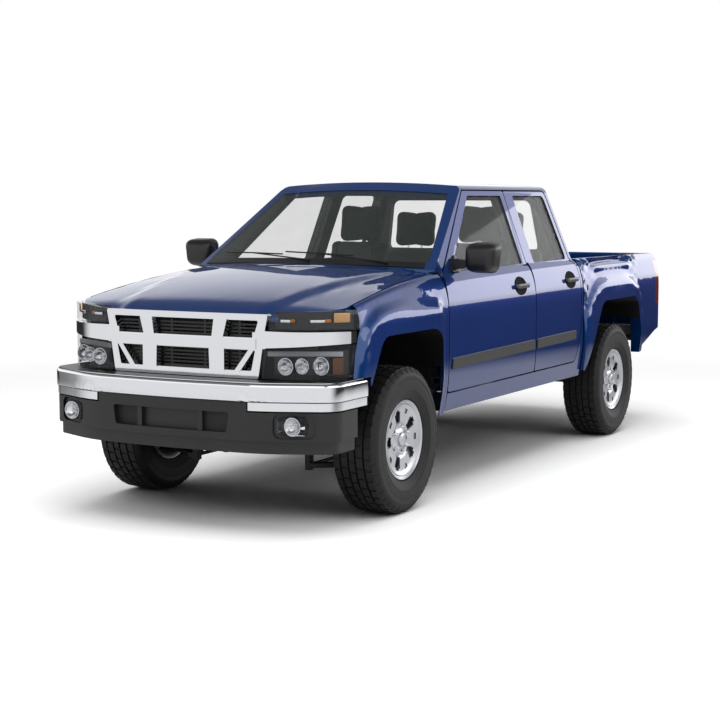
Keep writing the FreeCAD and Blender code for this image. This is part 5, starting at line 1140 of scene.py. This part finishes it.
# %% [markdown]
# Under the pads stand the seats' bases: a moulded pedestal, a plastic shield behind the front
# backs, and two bright posts that carry each headrest.
# %% Seat bases
def rod_between(work, low, high, radius, index):
    """Round bar between two points."""
    low, high = Vector(low), Vector(high)
    bar = bmesh.new()
    bmesh.ops.create_cone(
        bar, cap_ends=True, segments=20, radius1=radius, radius2=radius, depth=(high - low).length,
    )
    turn = (high - low).to_track_quat("Z", "Y").to_matrix().to_4x4()
    bmesh.ops.transform(bar, matrix=Matrix.Translation((low + high) / 2) @ turn, verts=bar.verts)
    join(work, bar, index)


POST_R = 0.006
POST_SPREAD = 0.05
BASE_HALF = 0.16
BASE_LOW, BASE_HIGH = 0.578, 0.672


def seat_base():
    work = bmesh.new()
    for side in (1, -1):
        for shift in (-POST_SPREAD, POST_SPREAD):
            x = side * FRONT_X + shift
            rod_between(work, (x, 0.160, 1.33), (x, 0.176, 1.42), POST_R, 1)
            x = side * REAR_HEAD_X + shift
            rod_between(work, (x, 0.750, 1.26), (x, 0.760, 1.36), POST_R, 1)
        low, high = sorted((side * (FRONT_X - BASE_HALF), side * (FRONT_X + BASE_HALF)))
        join(work, rounded_block((low, -0.44, BASE_LOW), (high, 0.06, BASE_HIGH), 0.02))
        shield = rounded_block((low, -0.27, -0.012), (high, 0.27, 0.012), 0.011)
        lean = Matrix.Translation((0, 0.146, 1.04)) @ Matrix.Rotation(math.radians(BACK_LEAN), 4, "X")
        bmesh.ops.transform(shield, matrix=lean, verts=shield.verts)
        join(work, shield)
    join(work, rounded_block((-0.58, 0.18, BASE_LOW), (0.58, 0.66, BASE_HIGH), 0.02))
    return work


seat_frame = piece("seat_bases", seat_base(), [cabin_dark, chrome], "chassis", angle=50)
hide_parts("seats")
print("seats made")

# %% [markdown]
# The floor and the world give the white room. Light Path tells the camera's rays and the
# reflections apart from the light itself, so the room looks white without adding light. The
# floor is a disc that fades out before its edge, so it draws no horizon. Reflections see a
# wall below the horizon, bright ahead of the truck and dark behind it, then a white sky and a
# dim ceiling: that gives chrome and paint their dark lines. The floor is paler in a mirror
# than for light that bounces off it.
# %% Floor and world
HORIZON = (0.0, 0.06)
ZENITH = (0.32, 0.60)
FLOOR_FADE = (3.8, 7.0)
FLOOR_MIRRORED = (0.8, 0.8, 0.8, 1.0)
FLOOR_BOUNCED = (0.4, 0.4, 0.4, 1.0)
BAND_TURN = (-0.5, 0.2)
BAND_BEHIND = 0.03
BAND_AHEAD = 0.90
SKY_MIRRORED = 1.2
CEILING = 0.20
ROOM_RISE = (0.05, 0.7)
ROOM_LOW = 0.0
ROOM_HIGH = 0.62


def studio_floor():
    work = bmesh.new()
    bmesh.ops.create_circle(work, cap_ends=True, segments=64, radius=FLOOR_FADE[1] + 0.5)
    ground = object_of("studio_floor", work)
    finish = Finish("studio_floor", "paint", Roughness=0.9, Specular_IOR_Level=0.1)
    bounced = finish.node("ShaderNodeLightPath", output="Is Diffuse Ray")
    finish.feed(Base_Color=finish.mix(bounced, FLOOR_MIRRORED, FLOOR_BOUNCED))
    seen = finish.node("ShaderNodeLightPath", output="Is Camera Ray")
    white = finish.node("ShaderNodeBsdfDiffuse", links={"Color": (1.15, 1.15, 1.15, 1)})
    clear = finish.node("ShaderNodeBsdfTransparent")
    lit = finish.node(
        "ShaderNodeMixShader", links={0: seen, 1: Flow(finish, finish.shader.outputs[0]), 2: white},
    )
    away = finish.node("ShaderNodeVectorMath", {"operation": "LENGTH"}, {0: finish.place}, output=1)
    faded = finish.node("ShaderNodeMixShader", links={0: finish.span(away, *FLOOR_FADE), 1: lit, 2: clear})
    finish.join(faded, finish.tree.nodes["Material Output"].inputs["Surface"])
    ground.data.materials.append(finish.material)


def studio_world():
    world = bpy.data.worlds.new("studio")
    world.use_nodes = True
    scene.world = world
    tree = world.node_tree
    background = tree.nodes["Background"]
    background.inputs["Color"].default_value = (1, 1, 1, 1)
    path = tree.nodes.new("ShaderNodeLightPath")
    direction = tree.nodes.new("ShaderNodeTexCoord")
    split = tree.nodes.new("ShaderNodeSeparateXYZ")
    tree.links.new(direction.outputs["Generated"], split.inputs[0])

    def filled(made, values):
        """Give a node's inputs a number or a link each, and hand back its first output."""
        for index, value in values.items():
            if isinstance(value, float):
                made.inputs[index].default_value = value
            else:
                tree.links.new(value, made.inputs[index])
        return made.outputs[0]

    def rise(axis, low, high, first, last):
        """Smooth change of brightness along one axis of the direction."""
        made = tree.nodes.new("ShaderNodeMapRange")
        made.interpolation_type = "SMOOTHSTEP"
        return filled(made, {0: split.outputs[axis], 1: low, 2: high, 3: first, 4: last})

    def choose(factor, first, last):
        return filled(tree.nodes.new("ShaderNodeMix"), {0: factor, 2: first, 3: last})

    band = rise("Y", *BAND_TURN, BAND_AHEAD, BAND_BEHIND)
    sky = rise("Z", *ZENITH, SKY_MIRRORED, CEILING)
    mirrored = rise("Z", *HORIZON, band, sky)
    room = rise("Z", *ROOM_RISE, ROOM_LOW, ROOM_HIGH)
    seen = tree.nodes.new("ShaderNodeMath")
    seen.operation = "MAXIMUM"
    tree.links.new(path.outputs["Is Camera Ray"], seen.inputs[0])
    tree.links.new(path.outputs["Is Transmission Ray"], seen.inputs[1])
    strength = choose(seen.outputs[0], choose(path.outputs["Is Glossy Ray"], room, mirrored), 1.0)
    tree.links.new(strength, background.inputs["Strength"])


studio_floor()
studio_world()
scene.view_settings.view_transform = "Standard"
print("studio ready")
